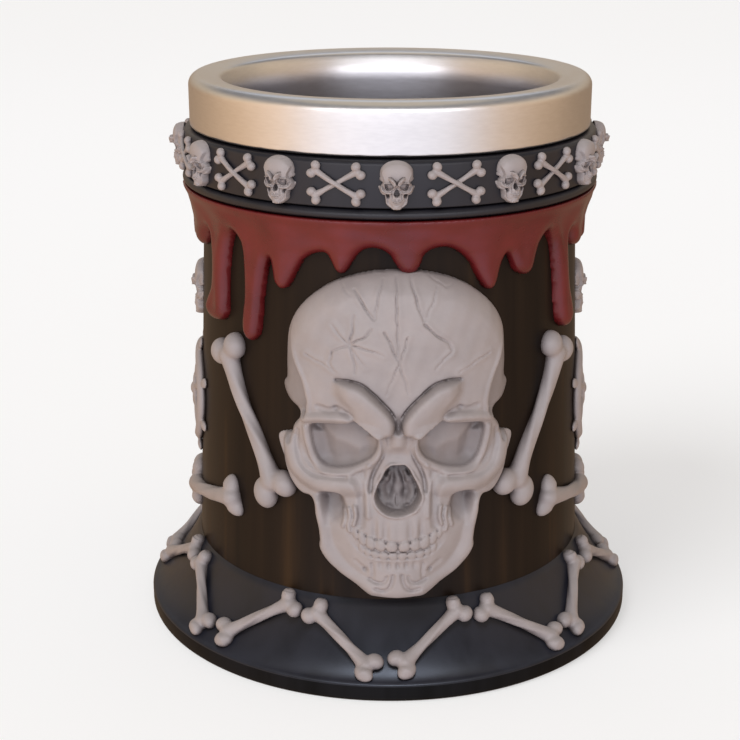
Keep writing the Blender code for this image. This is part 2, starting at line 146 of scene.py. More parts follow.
# ---- sculpting fields
def smooth_max(a, b, blend):
    share = np.clip(0.5 + 0.5 * (a - b) / blend, 0.0, 1.0)
    return b + (a - b) * share + blend * share * (1.0 - share)


def smooth_min(a, b, blend):
    return -smooth_max(-a, -b, blend)


def ramp(value, low, high):
    """0 below low, 1 above high, smooth between."""
    share = np.clip((value - low) / (high - low), 0.0, 1.0)
    return share * share * (3.0 - 2.0 * share)


def smooth_line(points, closed=False, steps=6):
    """Points along a Catmull-Rom curve through a few given points."""
    points = np.asarray(points, float)
    count = len(points)
    found = []
    for index in range(count if closed else count - 1):
        if closed:
            p0, p1, p2, p3 = (points[(index + shift) % count] for shift in (-1, 0, 1, 2))
        else:
            p1, p2 = points[index], points[index + 1]
            p0 = points[index - 1] if index else 2 * p1 - p2
            p3 = points[index + 2] if index + 2 < count else 2 * p2 - p1
        for share in np.arange(steps) / steps:
            found.append(0.5 * (
                2 * p1 + (p2 - p0) * share + (2 * p0 - 5 * p1 + 4 * p2 - p3) * share ** 2
                + (3 * p1 - p0 - 3 * p2 + p3) * share ** 3
            ))
    if not closed:
        found.append(points[-1])
    return np.array(found)


def line_distance(x, z, line, closed=False):
    """Distance from every cell to a line of points."""
    ends = np.roll(line, -1, axis=0) if closed else line[1:]
    starts = line if closed else line[:-1]
    nearest = np.full(x.shape, 1e9, np.float32)
    for (x0, z0), (x1, z1) in zip(starts, ends):
        dx, dz = x1 - x0, z1 - z0
        share = np.clip(((x - x0) * dx + (z - z0) * dz) / max(dx * dx + dz * dz, 1e-12), 0.0, 1.0)
        nearest = np.minimum(nearest, (x - x0 - share * dx) ** 2 + (z - z0 - share * dz) ** 2)
    return np.sqrt(nearest)


def inside_distance(x, z, outline):
    """Distance to a closed outline, positive inside it."""
    inside = np.zeros(x.shape, bool)
    for (x0, z0), (x1, z1) in zip(outline, np.roll(outline, -1, axis=0)):
        if z0 == z1:
            continue
        crossing = (z0 > z) != (z1 > z)
        inside ^= crossing & (x < (x1 - x0) * (z - z0) / (z1 - z0) + x0)
    distance = line_distance(x, z, outline, closed=True)
    return np.where(inside, distance, -distance)


def dome(x, z, centre, radii, height, power=2.0):
    q = 1.0 - np.abs((x - centre[0]) / radii[0]) ** power - np.abs((z - centre[1]) / radii[1]) ** power
    return height * np.sqrt(np.clip(q, 0.0, None)) + 3.0 * np.clip(q, -3.0, 0.0)


def ridge(distance, width, height):
    """A rounded ridge (or, with a negative height, a groove) of half-width around a line."""
    return height * np.clip(1.0 - (distance / width) ** 2, 0.0, None) ** 1.5


def mesh_from_field(values, low, cell):
    """Mesh the zero surface of a 3-D array; negative is inside. Returns points and quads."""
    grid = openvdb.FloatGrid(3.0)
    grid.copyFromArray(np.ascontiguousarray(values, np.float32), ijk=(0, 0, 0), tolerance=0.0)
    points, quads = grid.convertToQuads(isovalue=0.0)
    return points.astype(float) * cell + np.asarray(low, float), quads


def relief_mesh(heights, xs, zs, cell, top, base=RELIEF_BASE):
    """Mesh a relief: the solid between its base and its height at every cell."""
    slope_x, slope_z = np.gradient(heights, cell)
    steepness = np.sqrt(1.0 + np.clip(slope_x ** 2 + slope_z ** 2, 0.0, 40.0))
    levels = np.arange(base - 2 * cell, top + 3 * cell, cell)
    values = (levels[None, None, :] - heights[:, :, None]) / steepness[:, :, None]
    values = np.maximum(values, base - levels[None, None, :])
    return mesh_from_field(values, (xs[0], zs[0], levels[0]), cell)


def make_mesh(name, points, quads):
    mesh = bpy.data.meshes.new(name)
    mesh.vertices.add(len(points))
    mesh.vertices.foreach_set("co", np.asarray(points, np.float32).ravel())
    mesh.loops.add(quads.size)
    mesh.loops.foreach_set("vertex_index", np.asarray(quads, np.int32).ravel())
    mesh.polygons.add(len(quads))
    mesh.polygons.foreach_set("loop_start", np.arange(0, quads.size, quads.shape[1], dtype=np.int32))
    mesh.update(calc_edges=True)
    mesh.validate()
    mesh.shade_smooth()
    return mesh


def facing_out(quads, placed):
    """Quads turned round where wrapping mirrored them, judged by the sign of the volume."""
    a, b, c, d = (placed[quads[:, corner]] for corner in range(4))
    volume = np.einsum("ij,ij->i", a, np.cross(b, c) + np.cross(c, d)).sum()
    return quads if volume > 0 else quads[:, ::-1]


# ---- the skull
def mirrored(points):
    """A closed outline from its right half, given from the top down to the bottom."""
    half = smooth_line(points)
    return np.concatenate([half, half[-2:0:-1] * (-1, 1)])


SKULL_OUTLINE = (
    (0.0, 72.8), (5.5, 72.5), (12.4, 70.6), (17.0, 68.0), (20.5, 65.0), (23.0, 61.5), (24.6, 57.0),
    (25.0, 52.0), (24.9, 47.9), (25.7, 46.6), (25.6, 44.8), (24.0, 42.6), (20.8, 40.9), (20.6, 39.8),
    (22.2, 37.8), (23.2, 35.6), (25.2, 35.1), (27.1, 34.1), (27.0, 32.2), (25.6, 28.8), (23.8, 25.3),
    (21.8, 23.0), (19.8, 21.9), (17.4, 21.5), (17.0, 18.5), (16.4, 15.3), (16.1, 12.4), (16.3, 10.4),
    (15.0, 7.6), (12.6, 5.2), (9.6, 2.9), (7.2, 1.0), (5.0, -0.2), (0.0, -0.5),
)
SOCKET = (
    (7.9, 41.6), (10.0, 40.9), (13.0, 40.5), (15.8, 40.0), (17.4, 39.3), (17.6, 37.6), (17.4, 35.8),
    (17.0, 33.7), (16.4, 31.8), (15.3, 30.4), (13.4, 29.65), (10.8, 29.9), (8.3, 30.7), (6.3, 31.9),
    (4.9, 33.1), (4.1, 34.5), (3.7, 36.0), (3.7, 37.3), (4.1, 38.5), (5.2, 39.6), (6.4, 40.5),
)
NOSE = (
    (0.0, 31.5), (1.2, 31.5), (1.8, 31.0), (2.4, 30.1), (3.0, 28.7), (3.7, 27.2), (4.25, 25.6),
    (4.45, 24.4), (4.3, 23.3), (3.75, 22.3), (2.8, 21.2), (1.5, 20.5), (0.0, 20.3),
)
CHEEK_HOLLOW = (
    (9.8, 19.8), (10.3, 22.4), (11.3, 24.2), (13.2, 24.5), (15.5, 23.7), (15.2, 21.4), (14.5, 18.8),
    (13.2, 16.8), (11.4, 17.2),
)
# upper edge of a brow from its outer end in to its tip, and its lower edge back out
BROW_CREASE = (
    (11.6, 50.3), (10.2, 50.3), (8.8, 50.2), (6.9, 49.6), (5.2, 48.2), (3.6, 46.4), (2.2, 44.7), (1.2, 43.2),
    (0.7, 41.8), (0.65, 40.0), (1.2, 38.7), (2.6, 38.1),
)
BROW_UNDER = (
    (4.1, 38.5), (5.2, 39.6), (6.4, 40.5), (7.9, 41.6), (9.4, 42.7), (11.6, 44.6), (13.6, 47.0), (13.6, 49.6),
)
UNDER_SOCKET = (
    (10.0, 28.3), (13.0, 28.2), (16.3, 28.1), (18.9, 29.6), (20.1, 31.8), (20.8, 34.6), (20.4, 37.2),
)
CRACKS = (
    # half-width, depth, and the points, from the deep end to the faint one
    (0.30, 0.42, ((-0.3, 72.0), (-0.4, 66.0), (-0.2, 60.0), (0.1, 54.6))),
    (0.30, 0.42, ((-2.6, 61.2), (-1.0, 57.2), (0.1, 54.5), (2.0, 47.6))),
    (0.28, 0.38, ((1.7, 60.0), (0.5, 55.6), (-1.0, 51.4), (-2.3, 47.6))),
    (0.34, 0.52, ((-8.6, 69.4), (-6.6, 66.6), (-4.7, 63.5))),
    (0.28, 0.38, ((-3.0, 71.6), (-4.0, 67.4), (-4.4, 63.6))),
    (0.30, 0.46, ((-9.2, 58.2), (-6.6, 59.8), (-4.9, 61.7))),
    (0.34, 0.52, ((2.3, 72.0), (3.4, 67.4), (4.6, 63.4))),
    (0.26, 0.30, ((7.6, 70.0), (6.2, 66.2), (4.9, 63.2))),
    (0.34, 0.52, ((4.8, 62.6), (7.0, 60.2), (9.4, 58.2), (10.1, 56.8))),
    (0.26, 0.30, ((10.0, 56.4), (8.4, 55.0), (6.8, 53.0))),
    (0.26, 0.32, ((-9.2, 58.2), (-11.0, 60.0), (-12.8, 62.4))),
    (0.30, 0.42, ((-9.2, 58.2), (-8.6, 61.0), (-8.4, 64.4))),
    (0.29, 0.42, ((-9.2, 58.2), (-5.8, 57.4), (-2.8, 56.2))),
    (0.29, 0.42, ((-9.2, 58.2), (-8.2, 55.4), (-7.9, 52.0))),
    (0.26, 0.30, ((-8.8, 57.4), (-7.2, 55.2), (-6.0, 53.6))),
    (0.28, 0.38, ((-9.2, 58.2), (-12.4, 56.6), (-13.0, 54.2), (-11.9, 52.2))),
    (0.26, 0.28, ((-18.0, 55.1), (-14.6, 53.8), (-11.4, 52.0))),
    (0.26, 0.28, ((18.0, 55.2), (14.8, 53.8), (11.4, 51.8))),
    (0.26, 0.30, ((-12.0, 70.4), (-10.6, 69.0), (-9.4, 68.4))),
    (0.26, 0.30, ((6.0, 72.2), (9.4, 69.6), (12.0, 70.3))),
)
# edges of the teeth from the middle outwards, and the curves of the bite and of the upper gum
UPPER_TEETH = (0.0, 2.25, 4.15, 6.05, 7.5, 8.65, 9.6)
LOWER_TEETH = (0.0, 1.75, 3.45, 5.0, 6.3, 7.4)
BITE = ((0.0, 4.0, 6.0, 7.3, 8.6, 10.2), (12.0, 12.2, 12.7, 13.6, 14.9, 16.9))
UPPER_GUM = ((0.0, 2.3, 4.4, 6.4, 8.2, 10.2), (14.4, 14.8, 15.2, 16.0, 17.2, 19.0))
LOWER_CROWN = 1.95


def teeth(x, z, h):
    """Two rows of rounded crowns in a shallow band, with the roots above and pits below."""
    ax = np.abs(x)
    bite, gum = np.interp(ax, *BITE), np.interp(ax, *UPPER_GUM)
    low = bite - LOWER_CROWN
    arch = ramp(9.9 - ax, 0.0, 2.2)
    h -= 0.34 * ramp(z - low, -0.3, 0.3) * ramp(gum - z, -0.3, 0.3) * arch
    for edges, bottom, top, lift in ((UPPER_TEETH, bite, gum, 0.86), (LOWER_TEETH, low, bite - 0.1, 0.66)):
        middle, half = (bottom + top) / 2, (top - bottom) / 2
        for inner, outer in zip(edges, edges[1:]):
            across = np.abs((ax - (inner + outer) / 2) / ((outer - inner) / 2 + 0.03))
            crown = 1.0 - across ** 3.0 - np.abs((z - middle) / half) ** 2.6
            h += lift * min(1.0, (outer - inner) / 1.8) * np.clip(crown, 0.0, 1.0) ** 0.4 * arch
    over = ramp(z - gum, 0.0, 0.6) * ramp(21.0 - z, 0.0, 4.5)
    roots = ((2.3, 0.85, -0.30), (4.3, 0.70, -0.42), (3.3, 0.90, 0.25), (1.0, 0.95, 0.18))
    for place, width, height in roots:
        h += ridge(np.abs(ax - place), width, height) * over
    h += ridge(np.abs(z - low + 0.3), 0.6, 0.15) * ramp(6.5 - ax, 0.0, 1.5)
    for place, depth in ((0.0, 0.5), (1.6, 0.45), (3.15, 0.35), (4.6, 0.2)):
        h += ridge(np.hypot((ax - place) / 0.6, (z - low + 1.5) / 1.3), 1.0, -depth)
    return h


def skull_heights(x, z, fine=True):
    """Height of the skull over the wall in millimetres, for a head 73 mm tall, and the painted shade of each
    cell: how much it is darkened in hollows, creases and cracks.
    """
    ax = np.abs(x)
    # painted shade: darkening painted into the colour where shade falls, in the cheek hollows, behind the
    # temples, along the brow creases, in the sockets and the nose and in the cracks
    painted_shade = np.zeros(x.shape)

    def add(points, width, height):
        return ridge(line_distance(ax, z, smooth_line(points)), width, height)

    # masses: braincase, face, muzzle, chin and the edge of the jaw
    h = dome(x, z, (0.0, 51.0), (27.4, 24.6), 7.4, 2.5)
    h = smooth_max(h, dome(x, z, (0.0, 27.0), (25.6, 30.0), 5.2, 2.3), 2.0)
    h = smooth_max(h, dome(x, z, (0.0, 16.0), (14.5, 17.5), 7.2, 2.0), 1.6)
    h = smooth_max(h, dome(x, z, (0.0, 5.0), (9.0, 8.0), 6.6, 2.2), 1.4)
    h += add(((16.2, 21.0), (15.5, 16.0), (14.6, 11.0), (10.5, 5.4), (5.0, 2.2)), 2.4, 1.0)

    # cheekbones, from under the socket out to the spur beside the temple
    h += add(((8.8, 26.6), (12.5, 26.3), (17.0, 26.9), (20.8, 29.3), (22.8, 33.2)), 3.2, 1.8)
    h += ridge(np.hypot((ax - 22.8) / 0.9, (z - 34.6) / 1.3), 1.0, -1.0)

    # hollow between cheekbone, muzzle and jaw, open at its foot
    hollow = inside_distance(ax, z, smooth_line(CHEEK_HOLLOW, closed=True))
    h -= 2.6 * ramp(hollow, -0.5, 1.6) * (0.05 + 0.95 * ramp(z, 15.5, 23.5))
    # painted shade in the cheek hollow
    painted_shade = np.maximum(painted_shade, 0.26 * ramp(hollow, -0.6, 1.4) * ramp(z, 15.5, 21.0))
    if fine:
        for points in (
            ((8.2, 21.8), (7.9, 19.6), (8.4, 17.6)),
            ((9.4, 21.2), (9.1, 19.4), (9.4, 17.6), (9.2, 16.2)),
            ((10.5, 20.4), (10.2, 18.8), (10.5, 17.0)),
        ):
            h += add(points, 0.60, 0.6)
        h += add(((14.5, 22.3), (14.2, 19.0), (13.8, 16.8)), 0.8, -0.3)

    # temples: the side of the head steps back behind a curved line
    temple = smooth_line(((18.0, 41.0), (17.9, 43.0), (17.7, 44.6), (18.0, 46.5), (18.6, 48.8), (19.7, 51.2),
                          (20.9, 53.8), (22.0, 57.5), (22.4, 60.0)))
    behind = ax - np.interp(z, temple[:, 1], temple[:, 0])
    h -= 2.2 * ramp(behind, -0.1, 0.9) * ramp(z, 40.0, 42.0) * ramp(61.0 - z, 0.0, 7.0)
    h += ridge(np.abs(behind + 0.4), 0.8, 0.3) * ramp(z, 41.0, 43.0) * ramp(58.0 - z, 0.0, 5.0)
    # painted shade behind the temple step
    painted_shade = np.maximum(painted_shade, 0.34 * ramp(behind, -0.2, 1.2) * ramp(z, 40.5, 42.5) * ramp(60.0 - z, 0.0, 9.0))

    # scowling brows: steep along the crease above, sloping away below, with a groove between them
    crease, under = smooth_line(BROW_CREASE), np.array(BROW_UNDER)
    inside = inside_distance(ax, z, np.concatenate([crease, under])) > 0
    from_crease, from_under = line_distance(ax, z, crease), line_distance(ax, z, under)
    bar = np.sqrt(1.0 - np.clip(1.0 - from_crease / 1.5, 0.0, 1.0) ** 2)
    bar = bar * (1.0 - 0.55 * ramp(from_crease, 1.8, 7.0))
    near = ramp(9.4 - ax, 0.0, 2.4)
    bar = bar * (near + (1.0 - near) * ramp(from_under, 0.0, 3.0)) * ramp(13.2 - ax, 0.0, 4.5)
    h += (2.3 if fine else 2.8) * np.where(inside, bar, 0.0)
    h += ridge(from_crease, 0.55, -0.6) * ramp(z, 41.0, 43.0)
    # painted shade along the brow crease
    painted_shade = np.maximum(painted_shade, ridge(from_crease, 1.1, 0.22))
    h += ridge(ax, 0.6, -0.7) * ramp(z, 38.2, 39.6) * ramp(44.0 - z, 0.0, 3.0)

    # shelf over each socket
    h += add(((9.4, 42.0), (12.0, 41.9), (15.0, 41.5), (18.4, 40.6)), 1.35, 1.1)
    if fine:
        h += add(((8.8, 42.6), (10.2, 43.5), (11.6, 44.2)), 0.9, -0.4)
        h += add(((11.8, 43.9), (13.4, 43.5), (15.2, 43.9)), 0.95, -0.45)

    # bridge of the nose, and the furrows beside it
    h += ridge(ax, 1.8, 1.0) * ramp(z, 34.6, 36.4) * ramp(40.0 - z, 0.0, 1.5)
    h -= 0.7 * np.exp(-(((z - 33.8) / 1.1) ** 2)) * ridge(ax, 3.4, 1.0)
    if fine:
        h += add(((3.0, 37.6), (2.7, 35.0), (3.2, 32.8), (4.3, 30.2), (5.1, 27.8), (5.3, 25.5)), 0.6, -0.6)
        h += add(((5.4, 31.0), (5.8, 28.0), (5.8, 24.0), (5.6, 20.0)), 0.9, 0.5)
    h += add(((8.2, 28.2), (7.3, 26.8), (6.9, 24.0), (6.75, 20.5), (7.0, 17.6)), 1.1, -0.6)
    h += add(UNDER_SOCKET, 0.7, -0.4)

    # eye sockets: a rim, a sharp edge, and a floor with a fold across it
    socket = inside_distance(ax, z, smooth_line(SOCKET, closed=True))
    h += ridge(np.abs(socket + 0.8), 0.9, 0.6) * ramp(39.8 - z, 0.0, 1.5)
    fold = np.interp(ax, (5.5, 7.6, 9.7, 12.3, 14.2, 15.5), (35.8, 34.7, 35.8, 36.4, 38.2, 39.6))
    below = 0.5 * (fold - z + np.hypot(fold - z, 0.35))
    floor = (3.9 if fine else 4.6) - 0.12 * (z - 36.0) - 0.34 * below - 0.7 * ramp(ax, 11.0, 17.5)
    floor = smooth_max(floor, h - 0.9 - (0.80 + 3.0 * ramp(z, 37.0, 40.0)) * socket, 0.8)
    sunk = ramp(socket, -0.05, 0.45)
    h = h * (1.0 - sunk) + np.minimum(h, floor) * sunk
    # painted shade in the sockets, deeper below the fold
    painted_shade = np.maximum(painted_shade, sunk * (0.20 + 0.20 * ramp(fold - z, -0.3, 1.2)))

    # nose: a pear-shaped hole with a thin rim, a septum and a fold each side of it
    nose = inside_distance(x, z, mirrored(NOSE))
    h += ridge(np.abs(nose + 0.2), 0.5, 0.40 + 0.22 * np.sin(1.7 * z + 0.9 * x))
    inside = 2.0 + 1.4 * ramp(24.5 - z, 0.0, 4.0) if fine else 2.0 + 0.0 * z
    if fine:
        half = np.interp(z, (20.5, 24.0, 29.5), (2.0, 1.5, 0.6))
        drift = x + 0.22 * np.sin(0.9 * z)
        septum = np.clip(1.0 - (drift / half) ** 2, 0.0, 1.0)
        septum = septum * np.interp(z, (20.5, 25.0, 30.0), (0.5, 1.1, 0.2))
        split = ridge(np.abs(drift), 0.35, -0.35) * ramp(z, 21.0, 21.6) * ramp(24.4 - z, 0.0, 1.0)
        inside += septum
        inside += split
        inside += add(((2.5, 27.4), (3.2, 25.4), (3.4, 23.8), (2.6, 22.4)), 1.3, 0.8)
        inside += add(((1.6, 28.6), (1.9, 26.8)), 0.6, 0.4)
        inside += 0.15 * np.sin(2.3 * x + 1.0) * np.sin(1.9 * z)
    sunk = ramp(nose, 0.0, 0.45)
    h = h * (1.0 - sunk) + np.minimum(h, inside) * sunk
    # painted shade in the nose hole, deeper towards its top
    painted_shade = np.maximum(painted_shade, sunk * (0.42 + 0.25 * ramp(z, 25.0, 30.0)))

    h = teeth(x, z, h)
    if fine:
        # chin: swirls either side of a small boss, and a pit out beside them
        for points, width, depth in (
            (((0.85, 6.2), (1.05, 4.5), (1.7, 3.0), (2.8, 2.4), (4.1, 2.9)), 0.60, 0.55),
            (((2.0, 5.9), (2.4, 4.7), (3.5, 4.3), (4.6, 4.6), (5.3, 5.0)), 0.55, 0.45),
            (((4.9, 8.8), (4.6, 7.0), (4.7, 5.4)), 0.45, 0.35),
            (((8.0, 9.0), (7.0, 8.1), (6.3, 7.6)), 0.7, 0.25),
        ):
            h += add(points, width, -depth)
        h += ridge(np.hypot((ax - 6.15) / 0.7, (z - 7.1) / 0.8), 1.0, -0.6)

        # cracks, which wander a little and fade towards their last point
        lips, cuts = np.zeros_like(h), np.zeros_like(h)
        wander_x, wander_z = x + 0.10 * np.sin(1.7 * z + 0.6 * x), z + 0.10 * np.sin(1.9 * x + 0.5)
        for width, depth, points in CRACKS:
            distance = line_distance(wander_x, wander_z, np.array(points))
            length = math.dist(points[0], points[-1])
            to_tip = np.hypot(wander_x - points[-1][0], wander_z - points[-1][1])
            fade = 0.55 + 0.45 * ramp(to_tip, 0.0, 0.6 * length)
            lips = np.maximum(lips, ridge(distance, 1.3, 0.20) * fade)
            cuts = np.maximum(cuts, ridge(distance, width, depth) * fade)
        h = h + lips - cuts
        # painted shade in the cracks
        painted_shade = np.maximum(painted_shade, np.clip(0.28 * cuts, 0.0, 0.12))
        # the slight unevenness of a hand-made original
        h += 0.12 * np.sin(0.55 * x + 1.3) * np.sin(0.5 * z)
        h += 0.05 * np.sin(1.3 * x + 0.4 * z) * np.sin(1.1 * z - 0.7 * x)

    # round the rim over, and cut to the outline
    edge = inside_distance(x, z, mirrored(SKULL_OUTLINE))
    width = 1.4 + 3.2 * ramp(z, 40.0, 60.0)
    rounded = np.sqrt(1.0 - np.clip(1.0 - edge / width, 0.0, 1.0) ** 2)
    h = np.maximum(h, 0.6) * np.where(edge > 0, 0.12 + 0.88 * rounded, 0.0)
    return np.where(edge > 0, h, -1.5 + np.clip(edge, -3.0, 0.0)), painted_shade


def skull_points(cell, fine=True):
    """Points and quads of the skull, and the painted shade at each point."""
    xs = np.arange(-28.5, 28.51, cell)
    zs = np.arange(-2.5, 75.01, cell)
    x, z = np.meshgrid(xs, zs, indexing="ij")
    heights, painted_shade = skull_heights(x, z, fine)
    points, quads = relief_mesh(heights, xs, zs, cell, 11.5)
    column = np.rint((points[:, 0] - xs[0]) / cell).astype(int)
    row = np.rint((points[:, 1] - zs[0]) / cell).astype(int)
    return points, quads, painted_shade[column, row]


# ---- bones
def bone_field(x, z, h, bone):
    """Distance to one bone in its flat plane: a waisted, faintly ribbed shaft and its knobs."""
    (x0, z0), (x1, z1) = bone["shaft"]
    radius, lift = bone["radius"], bone.get("lift", 0.0)
    length = math.hypot(x1 - x0, z1 - z0)
    cos, sin = (x1 - x0) / length, (z1 - z0) / length
    u = (x - x0) * cos + (z - z0) * sin
    v = (z - z0) * cos - (x - x0) * sin
    along = np.clip(u / length, 0.0, 1.0)
    v = v - bone.get("bow", 0.0) * 4.0 * along * (1.0 - along)
    v = v - bone.get("sway", 0.0) * np.sin(2.0 * math.pi * along)
    rise = lift * 4.0 * along * (1.0 - along) + 0.45 * radius
    ribs = 0.06 * np.cos(4.0 * np.arctan2(h - rise, v) + 0.9 * u / radius)
    from_middle = np.abs(2.0 * along - 1.0)
    waisted = radius * (0.84 + 0.50 * from_middle ** 3 + ribs * (1.0 - from_middle ** 2))
    beyond = np.maximum(np.maximum(-u, u - length), 0.0)
    field = np.sqrt(beyond ** 2 + v ** 2 + (h - rise) ** 2) - waisted
    for knob_x, knob_z, knob, stretch, angle, taper in bone["knobs"]:
        cos, sin = math.cos(math.radians(angle)), math.sin(math.radians(angle))
        across, up = x - knob_x, z - knob_z
        du, dv = (across * cos + up * sin) / stretch, up * cos - across * sin
        size = knob * (1.0 - taper * np.clip(du / knob, 0.0, 1.0))
        ball = np.sqrt(du ** 2 + dv ** 2 + (h - bone.get("seat", 0.4) * knob) ** 2) - size
        field = smooth_min(field, ball, 0.28 * knob)
    return field


def straight_bone(
    start, end, radius, knob, spread, stretch=(1.1, 1.1, 1.1, 1.1), inset=0.0, taper=0.0, **more
):
    """A bone between two ends, with a pair of knobs side by side at each, drawn out along the bone."""
    start, end = np.array(start, float), np.array(end, float)
    along = (end - start) / np.linalg.norm(end - start)
    side = np.array((-along[1], along[0]))
    places = ((start, -1, -1), (start, 1, -1), (end, -1, 1), (end, 1, 1))
    knobs = []
    for (point, sign, outward), drawn in zip(places, stretch):
        splay = 12.0 * sign * outward
        angle = math.degrees(math.atan2(along[1] * outward, along[0] * outward)) + splay
        centre = point + side * spread * sign + along * knob * (drawn - 1.1) * outward
        knobs.append((*centre, knob, drawn, angle, taper if drawn > 1.1 else 0.0))
    return {"shaft": (start + along * inset, end - along * inset), "radius": radius, "knobs": knobs, **more}


def bone_points(bones, cell, blend=0.3, base=RELIEF_BASE):
    """One closed mesh of one or more bones, as flat points (across, up, outwards)."""
    knobs = np.array([knob[:3] for bone in bones for knob in bone["knobs"]])
    margin = knobs[:, 2].max() * 1.9
    low = knobs[:, :2].min(axis=0) - margin
    high = knobs[:, :2].max(axis=0) + margin
    shaft_top = max(bone["radius"] * 1.8 + bone.get("lift", 0.0) for bone in bones)
    top = max(knobs[:, 2].max() * 1.8, shaft_top) + 2 * cell
    xs, zs = np.arange(low[0], high[0], cell), np.arange(low[1], high[1], cell)
    hs = np.arange(base - 2 * cell, top, cell)
    x, z, h = np.meshgrid(xs, zs, hs, indexing="ij")
    field = None
    for bone in bones:
        one = bone_field(x, z, h, bone)
        field = one if field is None else smooth_min(field, one, blend)
    field = np.maximum(field, base - h)
    return mesh_from_field(field, (xs[0], zs[0], hs[0]), cell)


# ---- drips
# lower edge of the red collar over half a turn (azimuth, height); the other half repeats it
DRIP_EDGE = (
    (-85.0, 98.6), (-80.0, 96.2), (-76.0, 93.0), (-72.0, 91.9), (-68.4, 93.2), (-65.4, 96.0), (-63.5, 97.0),
    (-62.1, 95.0), (-61.3, 90.0), (-61.8, 85.0), (-64.0, 82.0), (-65.4, 79.6), (-63.6, 77.4), (-60.0, 76.7),
    (-56.0, 77.4), (-53.8, 79.8), (-53.9, 85.0), (-53.5, 90.0), (-52.4, 95.0), (-50.8, 97.7), (-49.1, 98.3),
    (-47.2, 97.4), (-45.8, 95.0), (-45.1, 90.0), (-45.0, 85.0), (-45.6, 80.0), (-45.0, 76.6), (-42.4, 75.0),
    (-39.8, 76.6), (-38.9, 80.0), (-38.3, 85.0), (-37.3, 90.0), (-36.4, 93.0), (-35.6, 94.4), (-34.9, 92.8),
    (-34.0, 89.6), (-32.0, 88.1), (-29.9, 88.5), (-28.5, 90.0), (-27.1, 92.0), (-24.8, 95.0), (-21.9, 96.5),
    (-18.4, 97.0), (-16.9, 95.5), (-15.6, 93.5), (-13.8, 92.7), (-12.2, 93.4), (-10.9, 95.0), (-9.2, 97.0),
    (-7.2, 98.2), (-5.1, 98.5), (-2.8, 98.1), (-0.7, 97.0), (0.9, 95.0), (2.6, 93.3), (4.7, 92.8),
    (6.6, 93.4), (8.0, 95.0), (9.0, 97.0), (11.0, 98.1), (13.4, 98.4), (15.7, 98.2), (18.6, 97.0),
    (21.5, 95.0), (23.6, 92.0), (25.0, 90.0), (26.3, 88.7), (27.9, 88.3), (29.2, 88.8), (30.2, 90.0),
    (31.3, 93.0), (32.5, 95.0), (33.6, 95.6), (34.6, 94.4), (36.0, 92.0), (38.2, 90.6), (40.6, 90.2),
    (42.2, 90.8), (43.3, 92.0), (44.2, 94.0), (45.2, 96.0), (47.0, 98.0), (48.9, 98.5), (51.0, 97.0),
    (52.5, 95.0), (53.9, 90.0), (54.7, 85.0), (55.3, 80.0), (56.6, 76.6), (60.3, 75.0), (63.6, 76.8),
    (63.9, 80.0), (62.0, 85.0), (61.1, 90.0), (60.8, 95.0), (61.8, 97.0), (63.6, 96.4), (65.5, 93.6),
    (69.0, 92.2), (72.5, 93.4), (75.5, 96.6), (79.0, 98.7), (83.0, 98.2), (85.6, 95.0), (87.3, 91.2),
    (89.5, 89.9), (91.7, 91.2), (93.3, 95.4),
)
DRIP_HEIGHTS = ((74.0, 84.0, 97.0, 100.0, 103.0, 104.6), (3.0, 2.6, 2.6, 3.2, 4.1, 4.9))
DRIP_ROUND = 2.4


def drip_points(cell):
    """The drip collar as one closed ring: a height map round the wall, meshed in space."""
    half_turn = math.pi * WALL_REFERENCE
    cells = int(round(half_turn / cell))
    arc = (np.arange(cells) + 0.5) * half_turn / cells - half_turn / 2
    zs = np.arange(DRIP_LOW[2] - 3.0, DRIP_HIGH[2] + 2.0, cell)
    x, z = np.meshgrid(arc, zs, indexing="ij")
    edge = np.array(DRIP_EDGE) * (math.radians(1.0) * WALL_REFERENCE, 1.0)
    line = smooth_line(np.concatenate([edge - (half_turn, 0), edge, edge + (half_turn, 0)]), steps=4)
    line = line[np.abs(line[:, 0]) < half_turn / 2 + 8.0]
    ring = np.concatenate([line, [(line[-1, 0], 140.0), (line[0, 0], 140.0)]])
    inside = inside_distance(x, z, ring)
    rounded = np.sqrt(1.0 - np.clip(1.0 - inside / DRIP_ROUND, 0.0, 1.0) ** 2)
    swell = 0.3 * np.sin(0.42 * x + 0.8 * np.sin(0.3 * z))
    swell = swell * ramp(104.0 - z, 0.0, 3.0) * ramp(inside, 1.0, 4.0)
    relief = (np.interp(z, *DRIP_HEIGHTS) + swell) * rounded
    heights = np.where(inside > 0, relief, -1.0 + np.clip(inside, -2.0, 0.0))
    heights = np.concatenate([heights, heights])
    slope_x, slope_z = np.gradient(heights, cell)
    steepness = np.sqrt(1.0 + np.clip(slope_x ** 2 + slope_z ** 2, 0.0, 30.0))

    reach = WALL_FOOT_R + 4.2
    axis = np.arange(-reach, reach + cell, cell)
    gx, gy, gz = np.meshgrid(axis, axis, zs, indexing="ij")
    radius = np.hypot(gx, gy)
    turn = np.mod(np.arctan2(gx, -gy) + math.pi / 2, 2 * math.pi)
    place = turn / math.pi * cells - 0.5
    column = np.floor(place).astype(int)
    share = place - column
    row = np.broadcast_to(np.arange(len(zs)), column.shape)
    first, second = column % (2 * cells), (column + 1) % (2 * cells)
    height = heights[first, row] * (1.0 - share) + heights[second, row] * share
    out = radius - wall_radius(gz)
    field = (out - height) / steepness[first, row]
    field = np.maximum(field, RELIEF_BASE - out)
    field = np.maximum(field, gz - (DRIP_HIGH[2] - 0.05))
    return mesh_from_field(field, (axis[0], axis[0], zs[0]), cell)


# ---- wheel on the flank
WHEEL_Z = 52.7
WHEEL_R = 11.2


